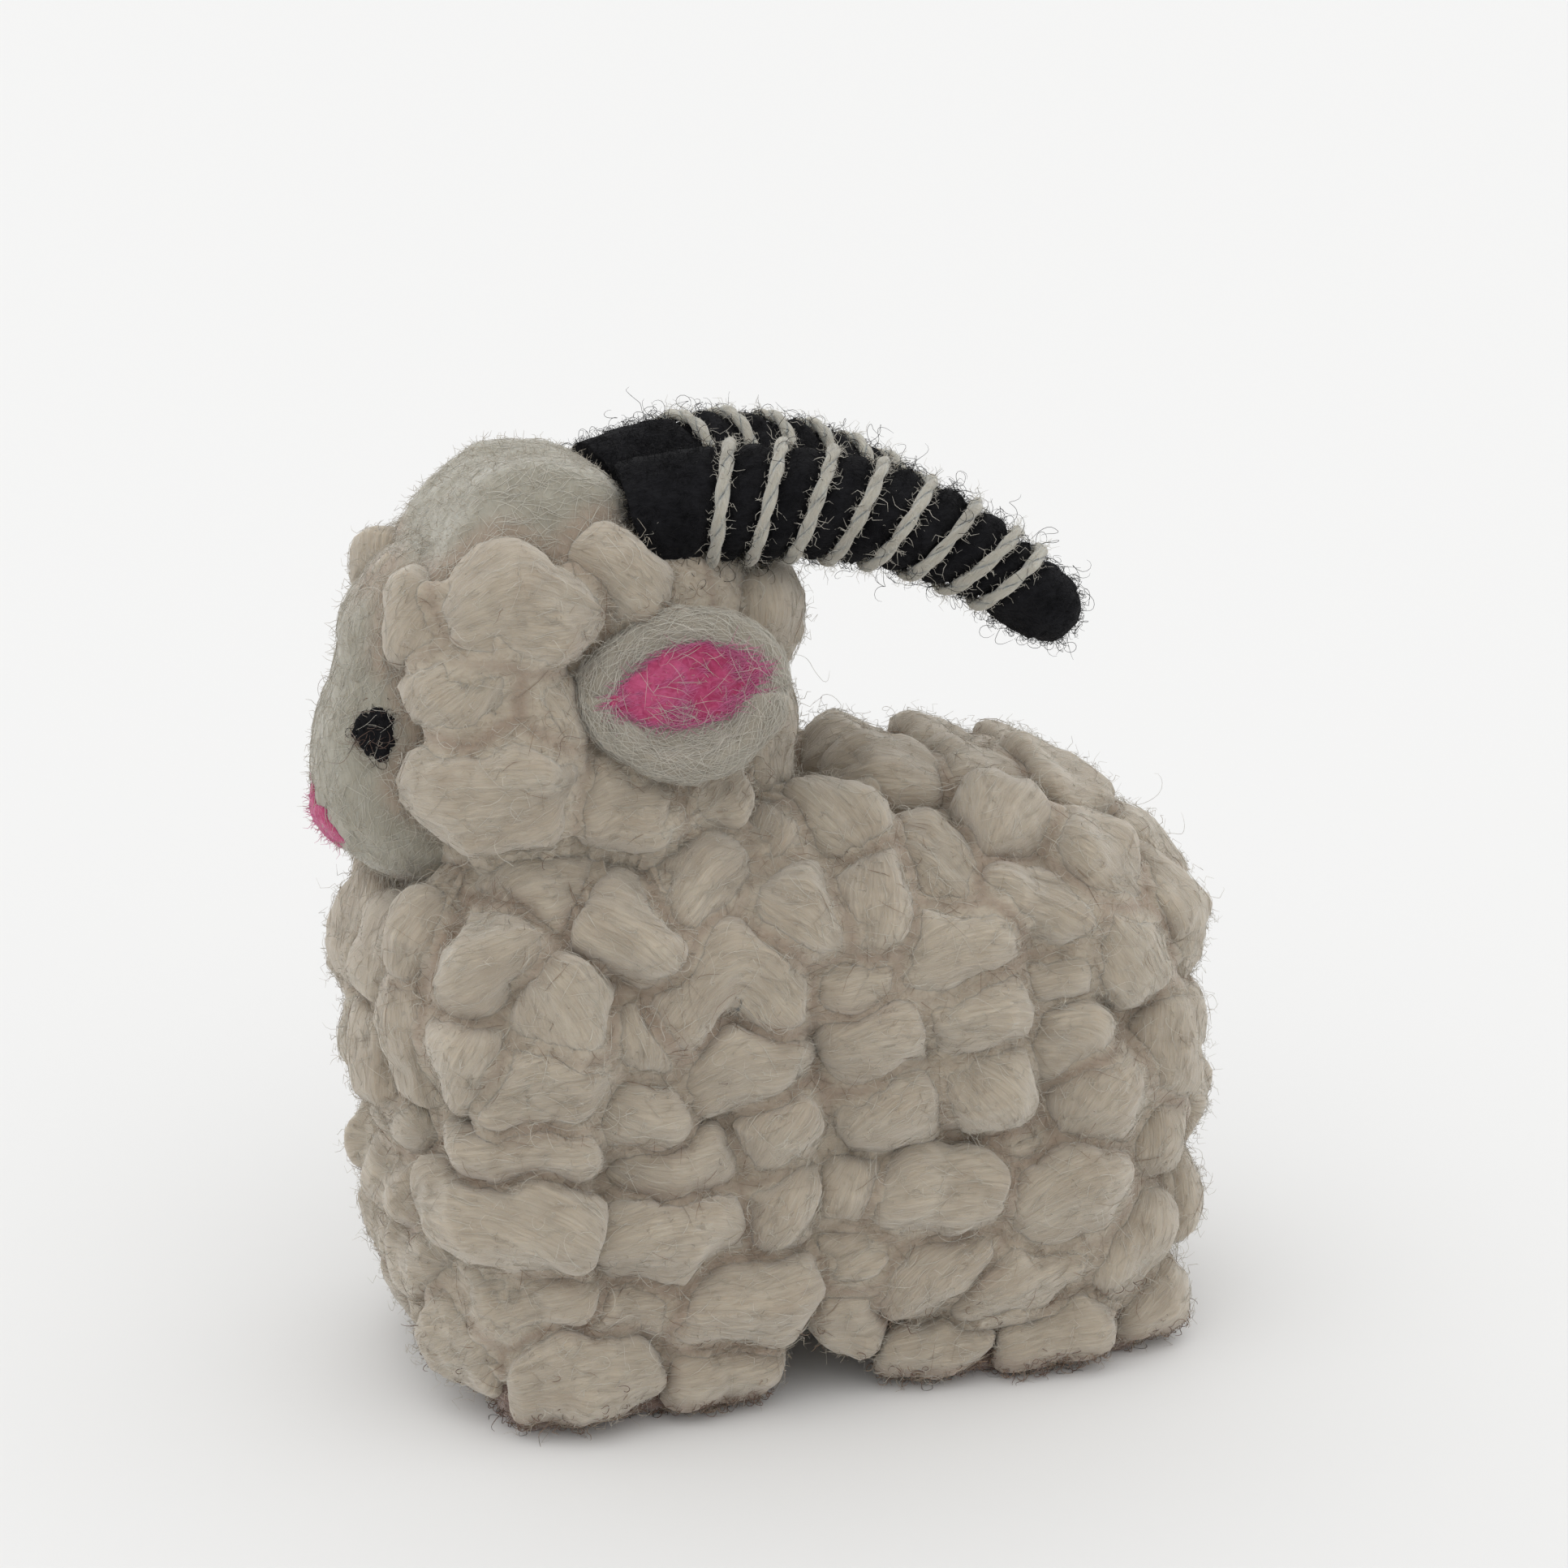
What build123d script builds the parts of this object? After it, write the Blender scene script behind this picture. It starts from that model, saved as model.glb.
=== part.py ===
from build123d import *
import os
from math import cos, pi, radians, sin, tan

# A standing goat of needle-felted wool. Millimetres, +Z up.
# It faces -Y, its left side is +X, and it stands on four flat soles at Z = 0.
# Firm felt cores carry everything. Puffy wool locks cover them like cobbles,
# and the horns, ears, eyes and nose are separate pieces felted on.

GAP = 0.05  # clearance between a cut face and the piece that it was cut round
LOCK_GAP = 0.4  # clearance between a lock of wool and the core that it lies on
MIDDLE_SHIFT = -0.3  # brings the middle of the finished figure, nose to rump, over the origin
DOME_ALIGN = (Align.CENTER, Align.CENTER, Align.MIN)  # a half ball standing on its flat side

# firm cores: width, front, rear, bottom, top and rounding
BODY = dict(width=33, front=-36, rear=40, bottom=8, top=57.5, rounding=12)
HEAD = dict(width=24, front=-35, rear=-4, bottom=54, top=90, rounding=9)
MUZZLE = dict(width=18, front=-45.4, rear=-27, bottom=54, top=77.6, rounding=8.9)
CROWN = dict(width=19, front=-30, rear=-17, bottom=86, top=95.8, rounding=6.4)

# stub legs under the body
LEG_HEIGHT = 8
LEG_INSIDE = 3
LEG_OUTSIDE = 16.2
LEG_CORNER = 6
FRONT_LEG = (-32, -6)
HIND_LEG = (12, 36)

# horns: a bent cone, its centreline an arc through three points
HORN_BASE = (7, -13, 90)
HORN_MIDDLE = (11, 7, 90.5)
HORN_END = (15, 26, 80)
HORN_RADII = (5.2, 5.0, 4.4, 3.7, 2.8)

# yarn wound round each horn, as fractions of the horn's length
YARN = 1.7
YARN_TURNS = 8
YARN_SIDES = 8
YARN_START = 0.13
YARN_PITCH = 0.105
YARN_LAST_PITCH = 0.05
YARN_LEAN = 0.016

# ears: an oval flap with a pink leaf let into it
EAR_CENTRE = (16.4, -12.2, 74.6)
EAR_LENGTH = 18.6
EAR_HEIGHT = 16.4
EAR_THICK = 3.4
EAR_UP = 12
EAR_BACK = 8
LINING_LENGTH = 15
LINING_HEIGHT = 8
LINING_THICK = 1.0
LINING_PROUD = 0.3
ROOT_RADIUS = 4

# eyes and nose: thin patches of coloured wool lying on the muzzle
PATCH_THICK = 0.8
EYE_PLACE = (-40.4, 71)
EYE_SIZE = (4.2, 5.4)
NOSE_HEIGHT = 60.5
NOSE_SIZE = (9, 6.5)

# Wool locks, each a bent bar with domed ends. A row is
#   distance along the belt, height, length, tilt, bend, thickness
# The belt runs round the core in plan. Along the flank it is the Y coordinate, and it goes on
# round the corners to the chest (negative) and the rump (positive). Height is Z, and goes on
# over the rounded top edge. Tilt is from the belt, and bend is how far the lock turns, in degrees.
SHOULDER_LOCKS = [
    (-40.8, 50.3, 8.8, 72, 10, 5.4),
    (-33.4, 49.8, 10.4, 30, 20, 5.6),
    (-26.8, 57.0, 9, 8, 20, 5.0),
    (-24.8, 45.6, 10, -62, 15, 5.8),
    (-17.6, 51.8, 10.6, -40, 20, 5.6),
    (-10.5, 56.3, 9.5, 40, 20, 6.0),
    (-42, 40.5, 10.5, -80, 15, 6.0),
    (-35, 40.5, 8, 65, 10, 5.8),
    (-27.5, 37.5, 11, 10, 25, 5.8),
    (-17.8, 41.6, 8, -80, 10, 5.4),
]
FLANK_LOCKS = [
    (-8, 46, 18, 0, 150, 6.0),
    (-7.5, 37.3, 10.5, 12, 30, 6.2),
    (-3.1, 60.3, 8, 56, 20, 5.0),
    (-0.8, 52.3, 8.6, -40, 30, 5.6),
    (-17.3, 33.6, 10.2, -14, -30, 5.6),
    (-3.6, 29.6, 8, 55, 10, 5.4),
    (-13.5, 27.3, 12, 2, -35, 5.6),
    (4.5, 45, 7.5, 5, 10, 5.6),
    (7.3, 39, 10, 5, 25, 5.8),
    (2, 33.8, 6, 65, 0, 3.4),
    (9, 31.3, 10, 22, 30, 6.0),
    (4, 23, 7, 70, 10, 5.2),
]
HAUNCH_LOCKS = [
    (6.5, 53, 9.5, 80, 20, 5.6),
    (4.6, 62.5, 9.8, -62, 20, 5.8),
    (14, 56, 11.5, -48, 25, 6.0),
    (14.8, 47.2, 10.5, 10, 20, 6.0),
    (22.2, 60.6, 9.6, 50, 20, 6.2),
    (24.5, 51.8, 10.8, -25, 25, 6.4),
    (17.5, 40.6, 10.5, 0, 30, 6.2),
    (33.3, 56.4, 10, -52, 20, 6.4),
    (26, 44.2, 8, 8, 10, 5.4),
    (18.6, 32.5, 9.5, -50, 20, 6.0),
    (27, 36.8, 9.5, -22, 50, 5.6),
    (35, 45.8, 11.5, -58, 20, 6.4),
    (31.2, 29.6, 11, 42, 20, 6.6),
    (39.5, 34.5, 10.5, 86, 15, 6.2),
    (42.5, 49, 10.5, -78, 15, 6.2),
    (38.5, 24, 9, 84, 10, 6.0),
    (22.4, 25.8, 8, 4, 20, 4.6),
]
FRONT_LEG_LOCKS = [
    (-29.5, 30.9, 14, 4, 25, 5.6),
    (-32, 23.9, 16, -10, 30, 6.2),
    (-14.3, 20.4, 15, 2, 25, 6.6),
    (-30.5, 15.9, 14, 12, 20, 5.8),
    (-3, 21.8, 8.5, 62, 10, 5.4),
    (-19.2, 13.2, 11, -4, 20, 5.2),
    (-25, 7.2, 16, 4, 20, 6.2),
    (-6.5, 12.4, 13.5, 4, -20, 6.2),
    (-9.5, 5.8, 11, 6, 15, 5.2),
    (-39.8, 9.1, 10, 30, 15, 6.0),
]
HIND_LEG_LOCKS = [
    (14.4, 21.2, 13, -4, 25, 6.4),
    (4.7, 16.2, 8, 20, 20, 5.4),
    (28, 20.2, 13, 20, 25, 6.8),
    (13.2, 13.3, 10.5, 38, 20, 5.8),
    (22.8, 11.4, 13.5, 18, 20, 6.2),
    (4.5, 9.7, 7, 0, 10, 5.0),
    (14, 4.6, 11, 2, 15, 4.8),
    (27, 4.6, 12.5, 6, 15, 5.4),
    (35.5, 13.6, 9.5, 62, 10, 6.0),
    (38.5, 5.2, 9, 24, 10, 5.8),
]
CHEST_LOCKS = [
    (-48, 46.8, 9.5, 82, 10, 6.0),
    (-48.2, 37, 9, -84, 10, 6.0),
    (-46.2, 29.7, 9, 12, 20, 5.0),
    (-46.8, 23, 10, -20, 20, 6.0),
    (-46.8, 15.4, 10.5, 18, 20, 6.0),
    (-48, 8.4, 7, -10, 10, 5.2),
]
RUMP_LOCKS = [
    (51.5, 54.5, 10, 84, 10, 6.0),
    (51, 42.5, 11, -82, 12, 6.2),
    (49, 32.6, 11, 8, 20, 6.0),
    (49, 24.8, 11.5, -14, 20, 6.2),
    (46, 14, 10, 74, 12, 6.0),
    (52.4, 14, 9.5, 86, 8, 5.6),
]
# head locks follow the head's own belt
CHEEK_LOCKS = [
    (-39, 81.8, 8.4, 60, 20, 5.6),
    (-27.8, 83.8, 12.4, 6, 35, 6.2),
    (-33.9, 75.5, 9.4, 38, 20, 5.8),
    (-25.8, 74.2, 8.5, -60, 15, 5.4),
    (-31, 67, 13, 4, 30, 6.6),
    (-18.5, 64.4, 10, 10, 25, 5.6),
    (-8, 64.6, 9, 20, 20, 5.6),
    (-18, 86.8, 8, -35, 10, 5.0),
]
NAPE_LOCKS = [
    (3.5, 68.3, 10, 82, 10, 6.0),
    (3, 79.8, 10, 84, 10, 6.0),
]
FOREHEAD_LOCKS = [
    (-48.35, 80.6, 8, 0, 15, 5.2),
]
# back locks lie on top of the body: X, Y, length, heading from +X, bend, thickness
BACK_LOCKS = [
    (4.6, 12.2, 10, 74, 15, 6.4),
    (4.8, 22.4, 9.5, 98, 15, 6.6),
    (4.4, 32.4, 9.5, 78, 15, 6.4),
]


def block(width, front, rear, bottom, top, rounding, grow=0.0):
    """A rounded block: a rounded rectangle in plan, flat underneath, domed along its top edge."""
    with BuildPart() as made:
        with BuildSketch(Plane.XY.offset(bottom - grow)):
            with Locations((0, (front + rear) / 2)):
                RectangleRounded(width + 2 * grow, rear - front + 2 * grow, rounding + grow)
        extrude(amount=top - bottom + 2 * grow)
        fillet(made.faces().sort_by(Axis.Z)[-1].edges(), radius=0.95 * (rounding + grow))
    return made.part


def belt_spot(core, distance, height, thick):
    """Centre, belt direction, up direction and outward direction of a lock lying on a core."""
    reach = core["rounding"] + thick / 2 + LOCK_GAP
    front = core["front"] + core["rounding"]
    rear = core["rear"] - core["rounding"]
    shoulder = core["top"] - core["rounding"]
    over = max(distance - rear, front - distance, 0)
    turn = min(over / reach, pi / 2)
    inward = over - turn * reach
    yaw = turn if distance > rear else -turn
    climb = min(max(height - shoulder, 0) / reach, pi / 2)
    outward = Vector(cos(climb) * cos(yaw), cos(climb) * sin(yaw), sin(climb))
    along = Vector(-sin(yaw), cos(yaw), 0)
    inner = Vector(
        core["width"] / 2 - core["rounding"] - inward,
        min(max(distance, front), rear),
        min(height, shoulder),
    )
    return inner + outward * reach, along, outward.cross(along), outward


def lock(centre, along, up, outward, length, tilt, bend, thick):
    """One lock of wool: a round bar bent in the plane of the surface under it, with domed ends."""
    run = along * cos(radians(tilt)) + up * sin(radians(tilt))
    side = outward.cross(run)
    span = length - thick
    half = radians(max(abs(bend), 5)) / 2
    radius = span / (2 * half)
    chord = radius * sin(half)
    sag = radius * (1 - cos(half)) * (1 if bend >= 0 else -1)
    with BuildPart() as made:
        with BuildLine() as spine:
            ThreePointArc(
                centre - run * chord - side * (sag / 2),
                centre + side * (sag / 2),
                centre + run * chord - side * (sag / 2),
            )
        with BuildSketch(Plane(origin=spine.line @ 0, z_dir=spine.line % 0)):
            Circle(thick / 2)
        sweep(path=spine.line)
        with Locations(
            Plane(origin=spine.line @ 0, z_dir=-(spine.line % 0)),
            Plane(origin=spine.line @ 1, z_dir=spine.line % 1),
        ):
            Sphere(thick / 2, arc_size1=0, arc_size2=90, align=DOME_ALIGN)
    return made.part


def belt_locks(core, rows):
    """The locks of one patch of fleece, as separate solids."""
    locks = []
    for distance, height, length, tilt, bend, thick in rows:
        spot = belt_spot(core, distance, height, thick)
        locks.append(lock(*spot, length, tilt, bend, thick))
    return locks


def back_locks(rows):
    """The locks lying on the flat of the back, left of the middle."""
    locks = []
    for x, y, length, heading, bend, thick in rows:
        centre = Vector(x, y, BODY["top"] + thick / 2 + LOCK_GAP)
        locks.append(
            lock(centre, Vector(1, 0, 0), Vector(0, 1, 0), Vector(0, 0, 1), length, heading, bend, thick)
        )
    return locks


def group(locks, both_sides=False):
    """Locks kept as separate solids of one piece, mirrored to the right side if asked."""
    with BuildPart() as made:
        add(locks)
        if both_sides:
            mirror(about=Plane.YZ)
    return made.part


def mirrored(part):
    """The right-hand twin of a left-hand piece."""
    with BuildPart() as made:
        mirror(part, about=Plane.YZ)
    return made.part


body_block = block(**BODY)
head_clear = block(**HEAD, grow=GAP)
body_clear = block(**BODY, grow=GAP)
crown_clear = block(**CROWN, grow=GAP)

with BuildPart() as body_core:
    add(body_block)

with BuildPart() as head_core:
    add(block(**HEAD))
    add(body_clear, mode=Mode.SUBTRACT)

with BuildPart() as muzzle:
    add(block(**MUZZLE))
    fillet(muzzle.faces().sort_by(Axis.Z)[0].edges(), radius=6)
    add(head_clear, mode=Mode.SUBTRACT)
    add(body_clear, mode=Mode.SUBTRACT)

with BuildPart() as crown_tuft:
    add(block(**CROWN))
    add(head_clear, mode=Mode.SUBTRACT)


def leg(front, rear):
    """A left stub leg: a flat-soled pad of firm felt under the body."""
    with BuildPart() as made:
        with BuildSketch(Plane.XY):
            with Locations(((LEG_INSIDE + LEG_OUTSIDE) / 2, (front + rear) / 2)):
                RectangleRounded(LEG_OUTSIDE - LEG_INSIDE, rear - front, LEG_CORNER)
        extrude(amount=LEG_HEIGHT)
    return made.part


with BuildPart() as left_front_leg:
    add(leg(*FRONT_LEG))

with BuildPart() as left_hind_leg:
    add(leg(*HIND_LEG))

# the horn's centreline, and the round sections that it is lofted through
with BuildLine() as horn_line:
    ThreePointArc(HORN_BASE, HORN_MIDDLE, HORN_END)
horn_axis = horn_line.line


def horn_radius(t):
    """The horn's radius at a fraction of the way along it."""
    step = t * (len(HORN_RADII) - 1)
    i = min(int(step), len(HORN_RADII) - 2)
    return HORN_RADII[i] + (HORN_RADII[i + 1] - HORN_RADII[i]) * (step - i)


with BuildPart() as left_horn:
    for i, radius in enumerate(HORN_RADII):
        t = i / (len(HORN_RADII) - 1)
        with BuildSketch(Plane(origin=horn_axis @ t, z_dir=horn_axis % t)):
            Circle(radius)
    loft()
    with Locations(Plane(origin=horn_axis @ 1, z_dir=horn_axis % 1)):
        Sphere(HORN_RADII[-1], arc_size1=0, arc_size2=90, align=DOME_ALIGN)
    add(head_clear, mode=Mode.SUBTRACT)
    add(crown_clear, mode=Mode.SUBTRACT)


def yarn_corner(k):
    """A corner of the yarn's route, whose turns are many-sided. It starts under the horn's base.

    Each turn leans towards the tip at its top, and the last one is drawn up to the one before.
    """
    turns = k / YARN_SIDES
    angle = -2 * pi * turns
    close = max(turns - YARN_TURNS + 1, 0)
    t = YARN_START + YARN_PITCH * (turns - close - 0.25) + YARN_LAST_PITCH * close + YARN_LEAN * sin(angle)
    tangent = horn_axis % t
    flat = Vector(0, 0, 1).cross(tangent).normalized()
    across = tangent.cross(flat)
    ring = (horn_radius(t) + YARN / 2 + GAP) / cos(pi / YARN_SIDES)
    return horn_axis @ t + flat * (ring * cos(angle)) + across * (ring * sin(angle))


corners = [yarn_corner(k) for k in range(YARN_SIDES // 4, YARN_TURNS * YARN_SIDES + 1)]
bends = []
for before, here, after in zip(corners, corners[1:], corners[2:]):
    shorter = min((here - before).length, (after - here).length)
    half_turn = radians((here - before).get_angle(after - here)) / 2
    bends.append(0.45 * shorter / tan(half_turn))

with BuildPart() as left_horn_wrap:
    with BuildLine() as route:
        FilletPolyline(*corners, radius=bends)
    with BuildSketch(Plane(origin=route.line @ 0, z_dir=route.line % 0)):
        Circle(YARN / 2)
    sweep(path=route.line)
    yarn_volume = left_horn_wrap.part.volume
    add(head_clear, mode=Mode.SUBTRACT)
yarn_length = sum(edge.length for edge in route.edges())
print("yarn length", round(yarn_length), "tightest bend", round(min(bends), 1))
print("its volume over section times length", yarn_volume / (pi * YARN**2 / 4 * yarn_length))

# the ear's own plane: X runs back along the ear, Z looks out of its hollow
ear_out = Vector(1, 0, 0).rotate(Axis.Y, -EAR_UP).rotate(Axis.Z, -EAR_BACK)
ear_plane = Plane(origin=EAR_CENTRE, x_dir=Vector(0, 1, 0).rotate(Axis.Z, -EAR_BACK), z_dir=ear_out)


def leaf(length, height):
    """A leaf outline: pointed in front, full and round behind."""
    with BuildSketch() as made:
        with BuildLine():
            upper = Spline(
                (-length / 2, 0),
                (-length * 0.1, height * 0.42),
                (length / 2, 0),
                tangents=((1, 0.35), (0, -1)),
            )
            lower = Spline(
                (length / 2, 0),
                (length * 0.1, -height * 0.48),
                (-length / 2, 0),
                tangents=((0, -1), (-1, 0.35)),
            )
        make_face()
    return made.sketch


with BuildPart() as left_ear:
    with BuildSketch(ear_plane):
        Ellipse(EAR_LENGTH / 2, EAR_HEIGHT / 2)
    extrude(amount=EAR_THICK / 2, both=True)
    fillet(left_ear.edges(), radius=1.4)
    with BuildSketch(ear_plane):
        with Locations((-EAR_LENGTH / 5, EAR_HEIGHT / 8)):
            Circle(ROOT_RADIUS)
    extrude(amount=-10)
    add(head_clear, mode=Mode.SUBTRACT)
    with BuildSketch(ear_plane.offset(EAR_THICK / 2)):
        add(leaf(LINING_LENGTH + 2 * GAP, LINING_HEIGHT + 2 * GAP))
    extrude(amount=-(LINING_THICK - LINING_PROUD + GAP), mode=Mode.SUBTRACT)

with BuildPart() as left_ear_lining:
    with BuildSketch(ear_plane.offset(EAR_THICK / 2 - LINING_THICK + LINING_PROUD)):
        add(leaf(LINING_LENGTH, LINING_HEIGHT))
    extrude(amount=LINING_THICK)


def muzzle_skin():
    """The muzzle grown by a patch's thickness, less the muzzle itself."""
    with BuildPart() as made:
        add(block(**MUZZLE, grow=PATCH_THICK))
        fillet(made.faces().sort_by(Axis.Z)[0].edges(), radius=6 + PATCH_THICK)
        add(block(**MUZZLE, grow=GAP), mode=Mode.SUBTRACT)
    return made.part


def patch(plane, size):
    """The part of the muzzle's skin that an oval looks at, from the muzzle's middle outwards."""
    with BuildPart() as made:
        add(muzzle_skin())
        with BuildSketch(plane):
            Ellipse(size[0] / 2, size[1] / 2)
        extrude(amount=40, mode=Mode.INTERSECT)
    return made.part


with BuildPart() as left_eye:
    add(patch(Plane(origin=(2, EYE_PLACE[0], EYE_PLACE[1]), x_dir=(0, 1, 0), z_dir=(1, 0, 0)), EYE_SIZE))

with BuildPart() as nose:
    add(patch(Plane(origin=(0, -40, NOSE_HEIGHT), x_dir=(1, 0, 0), z_dir=(0, -1, 0)), NOSE_SIZE))

pieces = {
    "body_core": body_core.part,
    "head_core": head_core.part,
    "muzzle": muzzle.part,
    "crown_tuft": crown_tuft.part,
    "nose": nose.part,
    "left_front_leg": left_front_leg.part,
    "left_hind_leg": left_hind_leg.part,
    "left_horn": left_horn.part,
    "left_horn_wrap": left_horn_wrap.part,
    "left_ear": left_ear.part,
    "left_ear_lining": left_ear_lining.part,
    "left_eye": left_eye.part,
    "left_shoulder_curls": group(belt_locks(BODY, SHOULDER_LOCKS)),
    "left_flank_curls": group(belt_locks(BODY, FLANK_LOCKS)),
    "left_haunch_curls": group(belt_locks(BODY, HAUNCH_LOCKS)),
    "left_front_leg_curls": group(belt_locks(BODY, FRONT_LEG_LOCKS)),
    "left_hind_leg_curls": group(belt_locks(BODY, HIND_LEG_LOCKS)),
    "left_cheek_curls": group(belt_locks(HEAD, CHEEK_LOCKS)),
    "chest_curls": group(belt_locks(BODY, CHEST_LOCKS), both_sides=True),
    "rump_curls": group(belt_locks(BODY, RUMP_LOCKS), both_sides=True),
    "back_curls": group(back_locks(BACK_LOCKS), both_sides=True),
    "nape_curls": group(belt_locks(HEAD, NAPE_LOCKS), both_sides=True),
    "forehead_curls": group(belt_locks(HEAD, FOREHEAD_LOCKS)),
}
for name in [name for name in pieces if name.startswith("left_")]:
    pieces[name.replace("left_", "right_")] = mirrored(pieces[name])

os.makedirs("parts", exist_ok=True)
for name, piece in pieces.items():
    piece = piece.moved(Location((0, MIDDLE_SHIFT, 0)))
    piece.label = name
    export_step(piece, f"parts/{name}.step")
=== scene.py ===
"""The looks of a needle-felted wool goat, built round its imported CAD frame.

The goat faces -Y, its left side is +X, and it stands on Z = 0. Blender works in metres, but the
arrays in this script hold millimetres until build() makes a mesh of them.
"""

import itertools
import math

import bmesh
import bpy
import numpy as np
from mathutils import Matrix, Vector
from mathutils.bvhtree import BVHTree


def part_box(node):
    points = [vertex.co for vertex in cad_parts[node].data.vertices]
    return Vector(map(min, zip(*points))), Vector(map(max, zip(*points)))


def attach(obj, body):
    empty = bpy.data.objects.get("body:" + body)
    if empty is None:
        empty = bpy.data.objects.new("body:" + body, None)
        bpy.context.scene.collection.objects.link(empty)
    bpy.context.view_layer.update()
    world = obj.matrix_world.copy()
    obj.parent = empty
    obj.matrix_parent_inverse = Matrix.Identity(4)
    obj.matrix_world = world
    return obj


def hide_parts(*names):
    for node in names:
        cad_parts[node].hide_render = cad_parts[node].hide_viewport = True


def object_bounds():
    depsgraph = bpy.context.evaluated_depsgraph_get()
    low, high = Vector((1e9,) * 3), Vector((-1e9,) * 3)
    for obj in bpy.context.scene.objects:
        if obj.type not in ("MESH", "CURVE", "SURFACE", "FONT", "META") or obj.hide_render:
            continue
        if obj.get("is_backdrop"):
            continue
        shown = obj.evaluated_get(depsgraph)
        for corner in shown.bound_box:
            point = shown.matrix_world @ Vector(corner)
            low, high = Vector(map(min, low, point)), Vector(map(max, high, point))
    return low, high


MM = 0.001
BODY_NAME = "root"
SIDES = {"left": 1, "right": -1}
UP = np.array([0.0, 0.0, 1.0])

# locks of wool
LINE_POINTS = 7  # samples of a lock's centreline
LOCK_FULL = 1.95  # a lock's puffed width over its CAD width, where nothing presses on it
LOCK_SHIFT = (-1.7, -0.3)  # how far a lock moves outwards
LOCK_CAP_ROWS = 8
LOCK_SIDE_ROWS = 26
LOCK_COLUMNS = 40
CREASE = 0.03  # half the slit between two locks
GROOVE_SPAN = (-0.8, 2.2)  # how much nearer a lock is than the next, from a crease to clear of it, over which the painted crease shade fades
WEB_LEVELS = 12  # heights tried for the felt in the creases
WEB_ROUND = 1.3  # how softly that felt joins one lock to the next
WEB_STEP = 0.55
WANDER = 0.50  # how far creases stray from straight lines
SKIN_SEARCH = (0.3, 1.3)  # where a lock's skin is looked for: from a distance to so many radii
SKIN_HALVINGS = 10
FLOOR_CLEAR = 0.5  # the lowest that a lock hangs

# horns: the same arc and radii as the CAD horns
HORN_ARC = ((7, -13.3, 90), (11, 6.7, 90.5), (15, 25.7, 80))
HORN_RADII = (5.2, 5.0, 4.4, 3.7, 2.8)
YARN = 1.7
YARN_TURNS = 8
YARN_START = 0.13
YARN_PITCH = 0.105
YARN_LAST_PITCH = 0.05
YARN_LEAN = 0.016
PLY_PITCH = 6.5
PLY_REACH = 0.11  # how far a ply lies from the yarn's middle, and its radius, as shares of YARN
PLY_RADIUS = 0.30

MUZZLE_TOP = 89.0
LINING_TILT = 0.19  # the lining rises towards the back
EYE_SIZE = (4.2, 4.9)
NOSE_SIZE = (9.0, 6.5)

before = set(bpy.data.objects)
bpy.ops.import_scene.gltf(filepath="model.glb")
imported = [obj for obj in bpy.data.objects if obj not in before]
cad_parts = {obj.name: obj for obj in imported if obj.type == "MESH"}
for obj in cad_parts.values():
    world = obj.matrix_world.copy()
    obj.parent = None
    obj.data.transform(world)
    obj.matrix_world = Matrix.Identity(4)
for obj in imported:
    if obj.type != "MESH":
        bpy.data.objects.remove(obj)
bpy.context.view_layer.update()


# ---------------------------------------------------------------- numbers and noise


def unit(vectors):
    """Vectors scaled to a length of one."""
    return vectors / np.maximum(np.linalg.norm(vectors, axis=-1, keepdims=True), 1e-9)


def smoothstep(low, high, value):
    t = np.clip((value - low) / (high - low), 0, 1)
    return t * t * (3 - 2 * t)


def lattice(x, y, z, seed):
    """A repeatable number from -1 to 1 for each whole-numbered place."""
    h = (x * 73856093) ^ (y * 19349663) ^ (z * 83492791) ^ (seed * 40503 + 977)
    h = ((h ^ (h >> 13)) * 1274126177) & 0xFFFFFFFF
    h = ((h ^ (h >> 16)) * 668265263) & 0xFFFFFFFF
    return (h ^ (h >> 15)) / 2**31 - 1


def noise(points, size, seed):
    """Smooth noise from -1 to 1, with lumps about size across."""
    p = points / size
    cell = np.floor(p).astype(np.int64)
    f = p - cell
    f = f * f * (3 - 2 * f)
    total = np.zeros(p.shape[:-1])
    for corner in itertools.product((0, 1), repeat=3):
        weight = np.prod(np.where(corner, f, 1 - f), axis=-1)
        place = cell + np.array(corner)
        total += weight * lattice(place[..., 0], place[..., 1], place[..., 2], seed)
    return total


def wander(points):
    """Places moved about smoothly, so that the creases between locks don't run straight."""
    y_z_x, z_x_y = np.roll(points, -1, -1), np.roll(points, -2, -1)
    wave = np.sin(y_z_x * 0.57 + [0.3, 1.9, 4.1]) + np.sin(z_x_y * 0.66 + [2.2, 0.7, 5.0])
    return points + WANDER * wave


def smooth_max(a, b, k):
    """The larger of two, with the edge between them rounded over k."""
    return np.maximum(a, b) + np.maximum(k - np.abs(a - b), 0) ** 2 / (4 * k)


# ---------------------------------------------------------------- meshes


class Surface:
    """Points and faces in millimetres, with what the wool on them needs to know.

    comb holds places along and across the fibres, run the way the fibres lie, and groove how deep
    a point lies between its neighbours, from 0 to 1, which sets how much painted shade its colour gets.
    """

    def __init__(self, points, faces, comb=None, run=None, groove=None):
        self.points = points
        self.faces = faces
        self.comb = points * np.array([1, 0.3, 1]) if comb is None else comb
        self.run = np.tile([0.0, 1.0, 0.0], (len(points), 1)) if run is None else run
        self.groove = np.zeros(len(points)) if groove is None else groove

    def triangles(self):
        made = []
        for face in self.faces:
            made.append(face[:, :3])
            if face.shape[1] == 4:
                made.append(face[:, [0, 2, 3]])
        return np.concatenate(made)

    def normals(self):
        tri = self.triangles()
        a, b, c = (self.points[tri[:, i]] for i in range(3))
        flat = np.cross(b - a, c - a)
        total = np.zeros_like(self.points)
        for i in range(3):
            np.add.at(total, tri[:, i], flat)
        return unit(total)


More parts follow.
